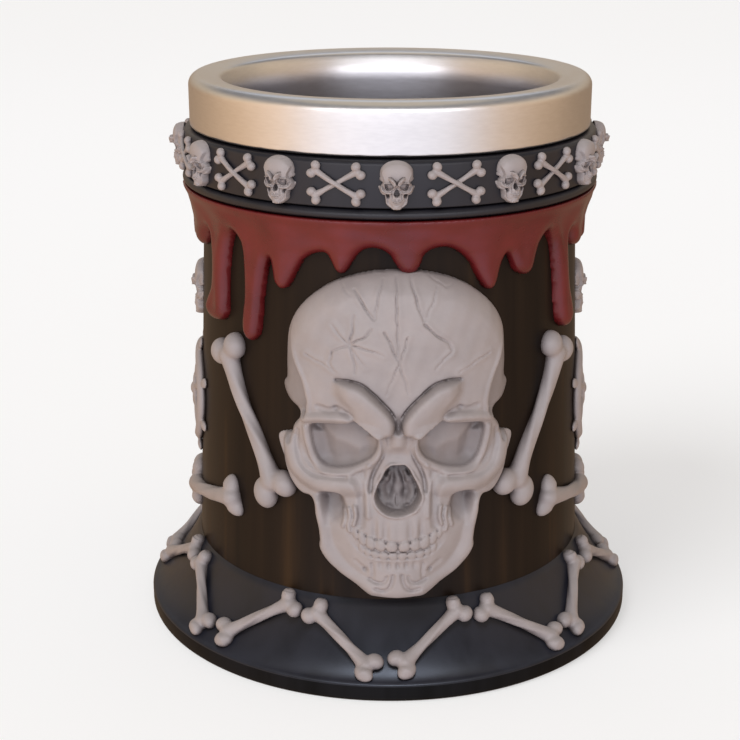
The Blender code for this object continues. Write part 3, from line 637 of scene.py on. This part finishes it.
def wheel_points(cell):
    """A spoked wheel of round strands lying on the wall, as flat points about its hub."""
    reach = WHEEL_R + 5.6
    axis = np.arange(-reach, reach + cell, cell)
    hs = np.arange(RELIEF_BASE - 2 * cell, 3.4, cell)
    x, z, h = np.meshgrid(axis, axis, hs, indexing="ij")
    out = np.hypot(x, z)
    field = np.hypot(out - WHEEL_R, h - 0.9) - 1.35
    field = smooth_min(field, np.hypot(out - 3.4, h - 1.0) - 1.0, 0.5)
    field = smooth_min(field, np.sqrt((out / 2.2) ** 2 + ((h - 0.9) / 1.6) ** 2) * 1.6 - 1.6, 0.5)
    for spoke in range(8):
        angle = math.pi * (spoke + 0.5) / 4
        along = x * math.sin(angle) + z * math.cos(angle)
        across = z * math.sin(angle) - x * math.cos(angle)
        share = np.clip(along, 0.0, 14.2)
        thick = 0.72 + 0.28 * np.sin(np.clip(share / WHEEL_R, 0.0, 1.0) * math.pi)
        thick = thick + 0.45 * ramp(share, 12.4, 13.8)
        strand = np.sqrt((along - share) ** 2 + across ** 2 + (h - 0.8) ** 2) - thick
        field = smooth_min(field, strand, 0.4)
    field = np.maximum(field, RELIEF_BASE - h)
    return mesh_from_field(field, (axis[0], axis[0], hs[0]), cell)


# ---- turned pieces
def turned_mesh(name, profile, closed=False):
    """A profile of (radius, z) points turned about the axis, outer side running down."""
    profile = np.asarray(profile, float)
    ring_points = [point for point in profile if point[0] > 1e-6]
    angles = 2 * math.pi * np.arange(TURN_STEPS) / TURN_STEPS
    rings = [np.stack([r * np.sin(angles), -r * np.cos(angles), np.full_like(angles, z)], -1)
             for r, z in ring_points]
    points = np.concatenate(rings)
    count = len(ring_points)
    index = np.arange(TURN_STEPS)
    following = np.roll(index, -1)
    faces = []
    for ring in range(count if closed else count - 1):
        upper, lower = ring * TURN_STEPS, ((ring + 1) % count) * TURN_STEPS
        faces += np.stack([upper + index, lower + index, lower + following, upper + following], -1).tolist()
    if not closed:
        faces.append(index.tolist())
        faces.append(((count - 1) * TURN_STEPS + index[::-1]).tolist())
    mesh = bpy.data.meshes.new(name)
    mesh.from_pydata((points * MM).tolist(), [], faces)
    mesh.shade_smooth()
    mesh.set_sharp_from_angle(angle=math.radians(32))
    return mesh


def fillet(corner, radius, start, end, steps=6):
    """Points of an arc round a centre, from one angle to another in degrees."""
    angles = np.radians(np.linspace(start, end, steps + 1))
    return [(corner[0] + radius * math.cos(a), corner[1] + radius * math.sin(a)) for a in angles]


# ---- materials
WHITE = (1.0, 1.0, 1.0)


def show(obj):
    bpy.context.scene.collection.objects.link(obj)


def set_inputs(made, values):
    for name, value in values.items():
        made.inputs[name].default_value = value


def new_material(name):
    material = bpy.data.materials.new(name)
    material.use_nodes = True
    tree = material.node_tree
    shader = tree.nodes["Principled BSDF"]
    return material, tree, shader


def node(tree, kind, **settings):
    made = tree.nodes.new(kind)
    for key, value in settings.items():
        setattr(made, key, value)
    return made


def noise(tree, scale, detail=4.0, roughness=0.55, stretch=(1.0, 1.0, 1.0)):
    """Noise in the piece's own space; stretch below 1 draws it out along that axis."""
    place = node(tree, "ShaderNodeTexCoord")
    mapping = node(tree, "ShaderNodeMapping")
    set_inputs(mapping, {"Scale": stretch})
    tree.links.new(place.outputs["Object"], mapping.inputs["Vector"])
    texture = node(tree, "ShaderNodeTexNoise")
    set_inputs(texture, {"Scale": scale, "Detail": detail, "Roughness": roughness})
    tree.links.new(mapping.outputs["Vector"], texture.inputs["Vector"])
    return texture.outputs["Fac"]


def colour_ramp(tree, factor, stops):
    made = node(tree, "ShaderNodeValToRGB")
    elements = made.color_ramp.elements
    while len(elements) < len(stops):
        elements.new(0.5)
    for element, (position, colour) in zip(elements, stops):
        element.position = position
        element.color = (*colour, 1.0)
    tree.links.new(factor, made.inputs["Fac"])
    return made.outputs["Color"]


def value_range(tree, factor, low, high, from_low=0.0, from_high=1.0):
    made = node(tree, "ShaderNodeMapRange")
    set_inputs(made, {"From Min": from_low, "From Max": from_high, "To Min": low, "To Max": high})
    tree.links.new(factor, made.inputs["Value"])
    return made.outputs["Result"]


def bump(tree, shader, height, distance, strength=1.0):
    made = node(tree, "ShaderNodeBump")
    set_inputs(made, {"Distance": distance, "Strength": strength})
    tree.links.new(height, made.inputs["Height"])
    tree.links.new(made.outputs["Normal"], shader.inputs["Normal"])


def multiply(tree, first, second, share=1.0):
    made = node(tree, "ShaderNodeMix", data_type="RGBA", blend_type="MULTIPLY")
    made.inputs["Factor"].default_value = share
    tree.links.new(first, made.inputs["A"])
    tree.links.new(second, made.inputs["B"])
    return made.outputs["Result"]


def recess(tree, distance, stops):
    """Painted shade: a darker colour where ambient occlusion finds the surface hemmed in."""
    made = node(tree, "ShaderNodeAmbientOcclusion", samples=8)
    made.inputs["Distance"].default_value = distance
    return colour_ramp(tree, made.outputs["AO"], stops)


def black_resin(name, dark, light, gloss, reflection_streak=None):
    """Near-black moulded resin with streaks drawn out down the piece; a third, lighter streak colour, where
    given, is a painted reflection.
    """
    material, tree, shader = new_material(name)
    streaks = noise(tree, 140.0, 3.0, 0.55, (1.0, 1.0, 0.03))
    colour = colour_ramp(tree, streaks, ((0.30, dark), (0.58, light), (0.72, reflection_streak or light)))
    tree.links.new(colour, shader.inputs["Base Color"])
    set_inputs(shader, {"Specular IOR Level": gloss})
    tree.links.new(value_range(tree, streaks, 0.34, 0.44, 0.3, 0.7), shader.inputs["Roughness"])
    bump(tree, shader, noise(tree, 2600.0, 2.0), 0.00002, 0.5)
    return material


def bone_resin(name, reach, hollow_reach):
    """Matt bone-coloured resin, with painted shade: a grey-brown darkening from ambient occlusion in creases,
    a fainter one in hollows, and the painted shade carried by the mesh.
    """
    material, tree, shader = new_material(name)
    mottle = noise(tree, 160.0, 5.0, 0.6)
    colour = colour_ramp(tree, mottle, ((0.30, (0.320, 0.291, 0.289)), (0.72, (0.376, 0.340, 0.336))))
    # painted shade in creases and hollows, from ambient occlusion
    crease = recess(tree, reach, ((0.10, (0.42, 0.37, 0.35)), (0.75, WHITE)))
    hollow = recess(tree, hollow_reach, ((0.25, (0.55, 0.53, 0.53)), (0.80, WHITE)))
    colour = multiply(tree, multiply(tree, colour, crease), hollow)
    # painted shade worked out with the relief and carried by the mesh
    painted = node(tree, "ShaderNodeAttribute", attribute_name="painted_shade")
    painted_shade = colour_ramp(tree, painted.outputs["Fac"], ((0.0, WHITE), (1.0, (0.26, 0.25, 0.26))))
    tree.links.new(multiply(tree, colour, painted_shade), shader.inputs["Base Color"])
    tree.links.new(value_range(tree, mottle, 0.42, 0.54, 0.3, 0.7), shader.inputs["Roughness"])
    set_inputs(shader, {"Specular IOR Level": 0.45})
    bump(tree, shader, noise(tree, 900.0, 4.0), 0.00004, 0.4)
    return material


def red_resin():
    material, tree, shader = new_material("red_resin")
    cloud = noise(tree, 120.0, 4.0)
    colour = colour_ramp(tree, cloud, ((0.30, (0.108, 0.007, 0.009)), (0.72, (0.150, 0.012, 0.013))))
    # painted shade in the recesses of the drips, from ambient occlusion
    painted_shade = recess(tree, 0.003, ((0.2, (0.5, 0.4, 0.4)), (0.8, WHITE)))
    tree.links.new(multiply(tree, colour, painted_shade), shader.inputs["Base Color"])
    tree.links.new(value_range(tree, cloud, 0.24, 0.34, 0.3, 0.7), shader.inputs["Roughness"])
    set_inputs(shader, {"Specular IOR Level": 0.4})
    bump(tree, shader, noise(tree, 1500.0, 2.0), 0.00003, 0.4)
    return material


def satin_steel():
    """Satin steel, with painted shade on the inner wall below the lip: a darker, bluer grey there."""
    material, tree, shader = new_material("satin_steel")
    grain = noise(tree, 420.0, 3.0, 0.5, (1.0, 1.0, 5.0))
    colour = colour_ramp(tree, grain, ((0.3, (0.62, 0.61, 0.60)), (0.7, (0.66, 0.65, 0.64))))
    place = node(tree, "ShaderNodeTexCoord")
    split = node(tree, "ShaderNodeSeparateXYZ")
    tree.links.new(place.outputs["Object"], split.inputs["Vector"])
    flat = node(tree, "ShaderNodeMapping")
    flat.inputs["Scale"].default_value = (1.0, 1.0, 0.0)
    tree.links.new(place.outputs["Object"], flat.inputs["Vector"])
    radius = node(tree, "ShaderNodeVectorMath", operation="LENGTH")
    tree.links.new(flat.outputs["Vector"], radius.inputs[0])
    # painted shade: a mask of the inner wall below the lip
    inside = node(tree, "ShaderNodeMath", operation="MULTIPLY")
    tree.links.new(value_range(tree, radius.outputs["Value"], 1.0, 0.0, 0.0390, 0.0405), inside.inputs[0])
    tree.links.new(value_range(tree, split.outputs["Z"], 1.0, 0.0, 0.1225, 0.1268), inside.inputs[1])
    inner_shade = colour_ramp(tree, inside.outputs["Value"], ((0.0, WHITE), (1.0, (0.66, 0.66, 0.72))))
    tree.links.new(multiply(tree, colour, inner_shade), shader.inputs["Base Color"])
    set_inputs(shader, {"Metallic": 1.0})
    tree.links.new(value_range(tree, grain, 0.30, 0.35, 0.3, 0.7), shader.inputs["Roughness"])
    return material


def foam_rubber():
    material, tree, shader = new_material("foam_rubber")
    cells = noise(tree, 1400.0, 3.0)
    colour = colour_ramp(tree, cells, ((0.3, (0.012, 0.012, 0.012)), (0.7, (0.035, 0.035, 0.034))))
    tree.links.new(colour, shader.inputs["Base Color"])
    set_inputs(shader, {"Roughness": 0.9})
    bump(tree, shader, cells, 0.0001, 0.7)
    return material


FINISHES = {
    "black_resin": black_resin("black_resin", (0.011, 0.011, 0.015), (0.016, 0.016, 0.022), 0.35),
    "bone_resin": bone_resin("bone_resin", 0.0020, 0.009), "red_resin": red_resin(),
    "steel": satin_steel(), "rubber": foam_rubber(),
}
SMALL_BONE = bone_resin("bone_resin_small", 0.0005, 0.0016)
# the cup wall's warm brown streaks are painted reflections
WALL_RESIN = black_resin(
    "wall_resin", (0.0088, 0.0062, 0.0052), (0.0195, 0.0122, 0.0078), 0.10, reflection_streak=(0.041, 0.023, 0.011)
)
FOOT_RESIN = black_resin("foot_resin", (0.0062, 0.0062, 0.0088), (0.0095, 0.0095, 0.0134), 0.38)
# the lowest band of the foot's rim: lower gloss, and a darker colour that is painted shade near the floor
EDGE_SHADE_RESIN = black_resin("edge_shade_resin", (0.004, 0.004, 0.004), (0.008, 0.008, 0.009), 0.05)


def add_piece(name, mesh, slot, body, *nodes):
    """A visible piece that stands for one or more CAD nodes and rides on a body."""
    obj = bpy.data.objects.new(name, mesh)
    show(obj)
    if not mesh.materials:
        mesh.materials.append(FINISHES[slot])
    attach(obj, body)
    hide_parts(*nodes)
    return obj


def add_sculpt(node_name, mesh, turn=0.0):
    """A bone-coloured relief on the cup that stands for the node it is named after."""
    piece = add_piece(f"{node_name}_sculpt", mesh, "bone_resin", "cup", node_name)
    piece.rotation_euler.z = math.radians(turn)


def wrapped_mesh(name, sculpted, place, material=FINISHES["bone_resin"]):
    """A mesh from flat points (across, up, outwards), quads and perhaps the painted shade at each point, put
    in place on the cup.
    """
    points, quads, *painted_shade = sculpted
    placed = place(points)
    mesh = make_mesh(name, placed, facing_out(quads, placed))
    if painted_shade:
        mesh.attributes.new("painted_shade", "FLOAT", "POINT").data.foreach_set("value", painted_shade[0].astype(np.float32))
    mesh.materials.append(material)
    return mesh


# ---- camera and light
def build_camera():
    data = bpy.data.cameras.new("camera")
    data.lens = 75.4
    data.sensor_width = 36.0
    data.clip_start = 0.01
    data.clip_end = 20.0
    camera = bpy.data.objects.new("camera", data)
    camera.location = (-0.00456, -0.35811, 0.17733)
    camera.rotation_euler = (math.radians(71.43), 0.0, 0.0)
    show(camera)
    bpy.context.scene.camera = camera


def area_light(name, location, target, size, power, colour):
    data = bpy.data.lights.new(name, "AREA")
    data.shape = "RECTANGLE"
    data.size, data.size_y = size
    data.energy = power
    data.color = colour
    light = bpy.data.objects.new(name, data)
    light.location = location
    light.rotation_euler = (Vector(location) - Vector(target)).to_track_quat("Z", "Y").to_euler()
    show(light)
    return light


def build_world():
    """A studio white in front and low down, tan at the sides and behind, dark higher up, warm overhead."""
    world = bpy.data.worlds.new("studio")
    world.use_nodes = True
    tree = world.node_tree
    place = node(tree, "ShaderNodeTexCoord")
    split = node(tree, "ShaderNodeSeparateXYZ")
    tree.links.new(place.outputs["Generated"], split.inputs["Vector"])
    walls = colour_ramp(tree, value_range(tree, split.outputs["Y"], 1.0, 0.0, -1.0, 1.0), (
        (0.0, (0.34, 0.24, 0.165)), (0.5, (0.78, 0.54, 0.36)),
        (0.74, (1.10, 0.84, 0.66)), (0.93, (1.24, 1.21, 1.33)),
    ))
    tilt = colour_ramp(tree, value_range(tree, split.outputs["X"], 0.0, 1.0, -1.0, 1.0), (
        (0.0, (1.20, 1.17, 1.12)), (0.5, WHITE), (1.0, (0.80, 0.80, 0.80)),
    ))
    over = colour_ramp(tree, split.outputs["Z"], (
        (0.34, (0.74, 0.62, 0.48)), (0.55, (0.25, 0.25, 0.27)),
        (0.78, (0.27, 0.28, 0.31)), (0.93, (0.74, 0.65, 0.54)),
    ))
    lowered = node(tree, "ShaderNodeMath", operation="SUBTRACT")
    tree.links.new(split.outputs["Z"], lowered.inputs[0])
    tree.links.new(value_range(tree, split.outputs["Y"], 0.30, 0.0, -1.0, 0.0), lowered.inputs[1])
    sky = node(tree, "ShaderNodeMix", data_type="RGBA")
    tree.links.new(value_range(tree, lowered.outputs["Value"], 0.0, 1.0, 0.0, 0.32), sky.inputs["Factor"])
    tree.links.new(multiply(tree, walls, tilt), sky.inputs["A"])
    tree.links.new(over, sky.inputs["B"])
    tree.links.new(sky.outputs["Result"], tree.nodes["Background"].inputs["Color"])
    seen = node(tree, "ShaderNodeBackground")
    seen.inputs["Color"].default_value = (0.93, 0.93, 0.94, 1.0)
    path = node(tree, "ShaderNodeLightPath")
    either = node(tree, "ShaderNodeMixShader")
    tree.links.new(path.outputs["Is Camera Ray"], either.inputs[0])
    tree.links.new(tree.nodes["Background"].outputs[0], either.inputs[1])
    tree.links.new(seen.outputs[0], either.inputs[2])
    tree.links.new(either.outputs[0], tree.nodes["World Output"].inputs["Surface"])
    bpy.context.scene.world = world


def build_light():
    """Lights round the cup; the last three are returned, to be linked once the pieces are made."""
    area_light("rear", (0.0, 0.62, 0.86), (0.0, 0.0, 0.02), (0.9, 0.5), 0.9, (0.78, 0.86, 1.0))
    key = area_light("key", (-0.20, -0.62, 0.78), (0.0, 0.0, 0.06), (0.6, 0.42), 3.2, (0.95, 0.97, 1.0))
    key.visible_glossy = False
    card = area_light("card", (0.0, -0.90, 0.34), (0.0, 0.0, 0.12), (1.5, 0.28), 4.2, (0.96, 0.97, 1.0))
    card.visible_diffuse = False
    area_light("left", (-0.62, -0.10, 0.32), (0.0, 0.0, 0.08), (0.7, 0.6), 0.25, (1.0, 0.76, 0.54))
    area_light("right", (0.62, -0.10, 0.32), (0.0, 0.0, 0.08), (0.7, 0.6), 0.25, (1.0, 0.70, 0.44))
    bpy.context.scene.view_settings.view_transform = "Standard"
    gleam = area_light("gleam", (0.0, -0.30, 0.90), (0.0, 0.0, 0.0), (0.32, 0.3), 6.0, (0.70, 0.80, 1.0))
    return key, card, gleam


def link_lights(key, card, gleam):
    """The key misses the floor, the card misses the foot and the wall, and the gleam lights only the foot."""
    for light, name, state, pieces in (
        (gleam, "only_foot", "INCLUDE", ("foot_shell",)),
        (key, "not_floor", "EXCLUDE", ("floor",)),
        (card, "not_shells", "EXCLUDE", ("foot_shell", "cup_shell")),
    ):
        group = bpy.data.collections.new(name)
        for number, piece in enumerate(pieces):
            group.objects.link(bpy.data.objects[piece])
            group.collection_objects[number].light_linking.link_state = state
        light.light_linking.receiver_collection = group


def build_floor():
    """A pale floor with a faint glow, lit by a soft sun of its own and unseen in the cup's reflections."""
    mesh = bpy.data.meshes.new("floor")
    half = 6.0
    corners = [(-half, -half, 0), (half, -half, 0), (half, half, 0), (-half, half, 0)]
    mesh.from_pydata(corners, [], [(0, 1, 2, 3)])
    floor = bpy.data.objects.new("floor", mesh)
    show(floor)
    material, tree, shader = new_material("floor")
    set_inputs(shader, {
        "Base Color": (0.45, 0.458, 0.466, 1.0), "Emission Color": (*WHITE, 1.0),
        "Emission Strength": 0.50, "Specular IOR Level": 0.0, "Roughness": 0.9,
    })
    mesh.materials.append(material)
    floor.visible_diffuse = False
    floor.visible_glossy = False
    only_floor = bpy.data.collections.new("only_floor")
    only_floor.objects.link(floor)
    sun = bpy.data.objects.new("floor_sun", bpy.data.lights.new("floor_sun", "SUN"))
    sun.data.energy = 1.9
    sun.data.angle = 0.6
    sun.rotation_euler = Vector((-0.6, -0.5, 0.7)).to_track_quat("Z", "Y").to_euler()
    show(sun)
    sun.light_linking.receiver_collection = only_floor


# ---- the pieces
def build_shells():
    """Foot, cup wall, band and bead."""
    foot_r = FOOT_HIGH[0]
    socket = WALL_FOOT_R + GAP
    lip = WALL_FOOT_R + 0.04
    recess_r, recess_z = PAD_HIGH[0] + GAP, PAD_HIGH[2] + GAP
    flare = [(r, flare_z(r)) for r in np.linspace(FOOT_TOP_R + 0.15, foot_r - 0.62, 30)]
    foot = [(0.0, 3.8), (socket, 3.8), (socket, FOOT_TOP_Z - 1.0), (lip, FOOT_TOP_Z - 0.6)]
    foot += [(lip, FOOT_TOP_Z + 0.5), (FOOT_TOP_R - 0.25, FOOT_TOP_Z + 0.12)]
    foot += flare + fillet((foot_r - 0.7, FOOT_RIM_Z - 0.7), 0.7, 78, 0, 8)
    foot += fillet((foot_r - 0.9, 0.9), 0.9, 0, -80, 6)
    foot += [(foot_r - 1.2, 0.0), (recess_r, 0.0), (recess_r, recess_z), (0.0, recess_z)]
    shell = turned_mesh("foot_shell", foot)
    shell.materials.append(FOOT_RESIN)
    shell.materials.append(EDGE_SHADE_RESIN)
    # the lowest band of the rim takes the darker resin, painted shade near the floor
    rim_z, rim_r = (FOOT_RIM_Z - 0.5) * MM, 0.057
    for face in shell.polygons:
        face.material_index = int(face.center.z < rim_z and math.hypot(*face.center[:2]) > rim_r)
    add_piece("foot_shell", shell, "black_resin", "cup", "base_foot")

    bore = 40.2
    neck_z = CUP_HIGH[2]
    cup = [(0.0, 8.0), (bore - 2.0, 8.0)] + fillet((bore - 2.0, 10.0), 2.0, -90, 0, 5)
    cup += [(bore, neck_z - 0.6), (bore + 0.6, neck_z), (WALL_TOP_R - 0.9, neck_z)]
    cup += [(WALL_TOP_R - 0.3, neck_z - 0.6), (WALL_TOP_R - 0.05, 110.0)]
    cup += [(wall_radius(z), z) for z in np.linspace(WALL_TOP_Z, FOOT_TOP_Z, 24)]
    cup += [(WALL_FOOT_R, CUP_LOW[2] + 0.5), (WALL_FOOT_R - 0.5, CUP_LOW[2]), (0.0, CUP_LOW[2])]
    shell = turned_mesh("cup_shell", cup)
    shell.materials.append(WALL_RESIN)
    add_piece("cup_shell", shell, "black_resin", "cup", "cup_body")

    inner = WALL_TOP_R + GAP
    low, high = BAND_LOW[2], BAND_HIGH[2]
    band = [(inner, high)] + fillet((BAND_R - 1.0, high - 1.0), 1.0, 90, 0, 8)
    band += fillet((BAND_R - 0.4, low + 0.4), 0.4, 0, -90, 5) + [(inner, low)]
    add_piece("band_shell", turned_mesh("band_shell", band, closed=True), "black_resin", "cup", "band_ring")

    low, high = BEAD_LOW[2], BEAD_HIGH[2]
    middle, half = (low + high) / 2, (high - low) / 2
    bead = [(inner, high)] + fillet((BEAD_HIGH[0] - half, middle), half, 90, -90, 12) + [(inner, low)]
    add_piece("bead_shell", turned_mesh("bead_shell", bead, closed=True), "black_resin", "cup", "bead_ring")


def build_liner():
    """The steel insert: inner wall, lip, skirt, and the outer wall down to its floor."""
    rim_r, top = LINER_HIGH[0], LINER_HIGH[2]
    floor_z = LINER_LOW[2] + 0.9
    skirt_z, seat_z = 117.9, 127.6
    corner, edge = 5.0, 2.3
    mouth, foot = 38.3, 36.0
    profile = [(0.0, floor_z)] + fillet((foot - corner, floor_z + corner), corner, -90, 0, 10)
    profile += [
        (foot + 1.3 * share, floor_z + corner + 106.5 * share) for share in np.linspace(0.05, 1.0, 12)
    ]
    profile += [(foot + 1.38, 123.6), (foot + 1.55, 124.9), (foot + 1.8, 126.0)]
    profile += [(mouth - 0.15, 127.1), (mouth + 0.1, top - 1.3), (mouth + 0.3, top - 0.9)]
    profile += [(mouth + 0.6, top - 0.66), (mouth + 1.1, top - 0.48), (40.4, top - 0.30)]
    profile += [(41.4, top - 0.12), (42.4, top - 0.02)]
    profile += fillet((rim_r - edge, top - edge), edge, 95, 0, 12)
    profile += [(rim_r, 124.0), (rim_r, 120.0), (rim_r, skirt_z + 0.6)]
    profile += fillet((rim_r - 0.6, skirt_z + 0.6), 0.6, 0, -90, 5)
    skirt_inner = rim_r - 1.4
    profile += [(skirt_inner, skirt_z), (skirt_inner, seat_z), (mouth + 0.9, seat_z)]
    profile += fillet((foot - corner, floor_z + corner), corner + 0.9, 0, -90, 10)
    profile += [(0.0, LINER_LOW[2])]
    add_piece("liner_shell", turned_mesh("liner_shell", profile), "steel", "liner", "steel_liner")


def place_round(kind, mesh, first):
    """The same relief on every motif of the band, from the azimuth of the first."""
    for number in range(BAND_MOTIFS):
        label = f"{number + 1:02d}"
        piece = add_piece(f"{kind}_sculpt_{label}", mesh, "bone_resin", "cup", f"{kind}_{label}")
        piece.rotation_euler.z = math.radians(first + 360.0 / BAND_MOTIFS * number)


SIDES = (("left", -90), ("right", 90))


def build_skulls():
    """One sculpted head for front and back, and a plainer one for the small skulls."""
    points, quads, painted_shade = skull_points(0.25)
    mesh = wrapped_mesh("skull", (points + (0.0, SKULL_CHIN_Z, 0.0), quads, painted_shade), lambda p: on_wall(p, 0.0))
    for side, turn in (("front", 0), ("back", 180)):
        add_sculpt(f"{side}_skull", mesh, SKULL_TURN + 0.3 + turn)

    points, quads, painted_shade = skull_points(0.45, fine=False)
    scale = 9.9 / SKULL_TALL
    small = points * (scale, scale, 2.7 / SKULL_RELIEF) + (0.0, 107.8, GAP)
    # the small skulls carry the painted shade at 0.3 of its strength
    mesh = wrapped_mesh("band_skull", (small, quads, 0.3 * painted_shade), on_band, SMALL_BONE)
    place_round("band_skull", mesh, 1.0)

    scale = 13.4 / SKULL_TALL
    small = points * (scale, scale, 2.3 / SKULL_RELIEF) + (0.0, 71.8, 0.0)
    mesh = wrapped_mesh("side_skull", (small, quads, 0.3 * painted_shade), lambda p: on_wall(p, 0.0), SMALL_BONE)
    for side, turn in SIDES:
        add_sculpt(f"{side}_side_skull", mesh, turn)


def build_flank_bones():
    """The long bone on each side of each large skull."""
    for name, side, turn in (
        ("front_left", -1, 0), ("front_right", 1, 0), ("back_left", -1, 180), ("back_right", 1, 180),
    ):
        stretch = (1.15, 1.1, 1.35, 1.15) if side < 0 else (1.1, 1.15, 1.15, 1.35)
        bone = straight_bone(
            (side * 42.6, 71.3), (side * 27.6, 42.7), 1.9, 2.7, 2.9, stretch,
            inset=1.5, seat=0.3, sway=0.4 * side,
        )
        sculpted = bone_points([bone], 0.22)
        mesh = wrapped_mesh(f"{name}_bone", sculpted, lambda p: on_wall(p, SKULL_TURN + turn))
        add_sculpt(f"{name}_bone", mesh)


def build_band_bones():
    """Crossed bones on the band, one lifted over the other."""
    crossed = [
        straight_bone(
            (-4.7 * side, -2.75), (4.7 * side, 2.75), 0.60, 0.92, 0.98, inset=0.3, lift=lift, seat=0.5
        )
        for side, lift in ((-1, 0.45), (1, 0.0))
    ]
    points, quads = bone_points(crossed, 0.09, 0.08)
    mesh = wrapped_mesh("band_crossbones", (points + (0.0, 112.7, GAP), quads), on_band, SMALL_BONE)
    place_round("band_crossbones", mesh, 16.0)


def build_side_motifs():
    """The two bones meeting in a V on each side, and the wheel above them."""
    # knobs are (across, up, radius, stretch, angle it is drawn out to, taper)
    pair = [
        {"shaft": ((side * 30.6, 36.3), (side * 3.2, 28.9)), "radius": 1.85, "seat": 0.1, "knobs": (
            (side * 30.0, 39.0, 2.2, 1.55, 90 - 8 * side, 0.45),
            (side * 31.6, 34.1, 2.2, 1.7, 90 - 132 * side, 0.45),
            (side * 1.6, 32.2, 2.3, 1.1, 90 + 30 * side, 0.0),
            (side * 3.4, 25.4, 2.3, 1.3, -90 - 20 * side, 0.3),
        )} for side in (-1, 1)
    ]
    sculpted = bone_points(pair, 0.28, 0.5)
    wheel, wheel_quads = wheel_points(0.22)
    crown = 0.42 + 0.85 * np.clip(1.0 - (np.hypot(wheel[:, 0], wheel[:, 1]) / (WHEEL_R + 4.0)) ** 2, 0.0, 1.0)
    wheel[:, 2] *= np.where(wheel[:, 2] > 0, crown, 1.0)
    wheel = (wheel + (0.0, WHEEL_Z, 0.0), wheel_quads)
    for side, turn in SIDES:
        for kind, shape in (("bones", sculpted), ("wheel", wheel)):
            name = f"{side}_side_{kind}"
            add_sculpt(name, wrapped_mesh(name, shape, lambda p: on_wall(p, turn)))


# azimuths of the outer end and the inner end of each bone of the zigzag on the foot
FOOT_BONES = (
    (-93.0, -72.2), (-51.0, -65.6), (-43.2, -26.9), (-5.0, -20.0), (2.6, 18.2), (42.2, 25.2),
    (49.4, 64.0), (91.5, 73.4), (99.0, 112.9), (133.6, 119.7), (141.0, 154.9), (175.5, 161.7),
    (182.9, 196.8), (217.5, 203.6), (224.9, 238.8), (259.5, 245.6),
)


def build_foot_bones():
    """The zigzag of bones round the foot, each following the flare."""
    for number, (outer, inner) in enumerate(FOOT_BONES):
        middle = (outer + inner) / 2
        reach = FLARE_REFERENCE * math.radians(1.0)
        rightward = inner > outer
        lower_run, upper_run = (4.8, 16.4) if rightward else (4.0, 15.6)
        bone = straight_bone(
            ((outer - middle) * reach, lower_run), ((inner - middle) * reach, upper_run), 1.45, 1.8, 1.9,
            (1.5, 1.1, 1.1, 1.2) if rightward else (1.1, 1.5, 1.2, 1.1),
            inset=0.9, taper=0.45, seat=0.45, lift=0.35, bow=0.5 if rightward else -0.5,
        )
        label = f"{number + 1:02d}"
        sculpted = bone_points([bone], 0.16, base=-1.0)
        mesh = wrapped_mesh(f"foot_bone_{label}", sculpted, lambda p: on_flare(p, middle))
        add_piece(f"foot_bone_sculpt_{label}", mesh, "bone_resin", "cup", f"foot_bone_{label}")


def build_drips():
    points, quads = drip_points(0.4)
    mesh = make_mesh("drips", points * MM, facing_out(quads, points))
    add_piece("drip_sculpt", mesh, "red_resin", "cup", "blood_drip")


def finish_cad_nodes():
    """Better materials for the CAD pieces that stay as they are."""
    for name in ("base_pad", "rim_gasket"):
        for material_slot in frame["nodes"][name].material_slots:
            material_slot.material = FINISHES["rubber"]


build_camera()
build_world()
lights = build_light()
build_floor()
build_shells()
build_liner()
build_skulls()
build_flank_bones()
build_band_bones()
build_side_motifs()
build_foot_bones()
build_drips()
finish_cad_nodes()
link_lights(*lights)
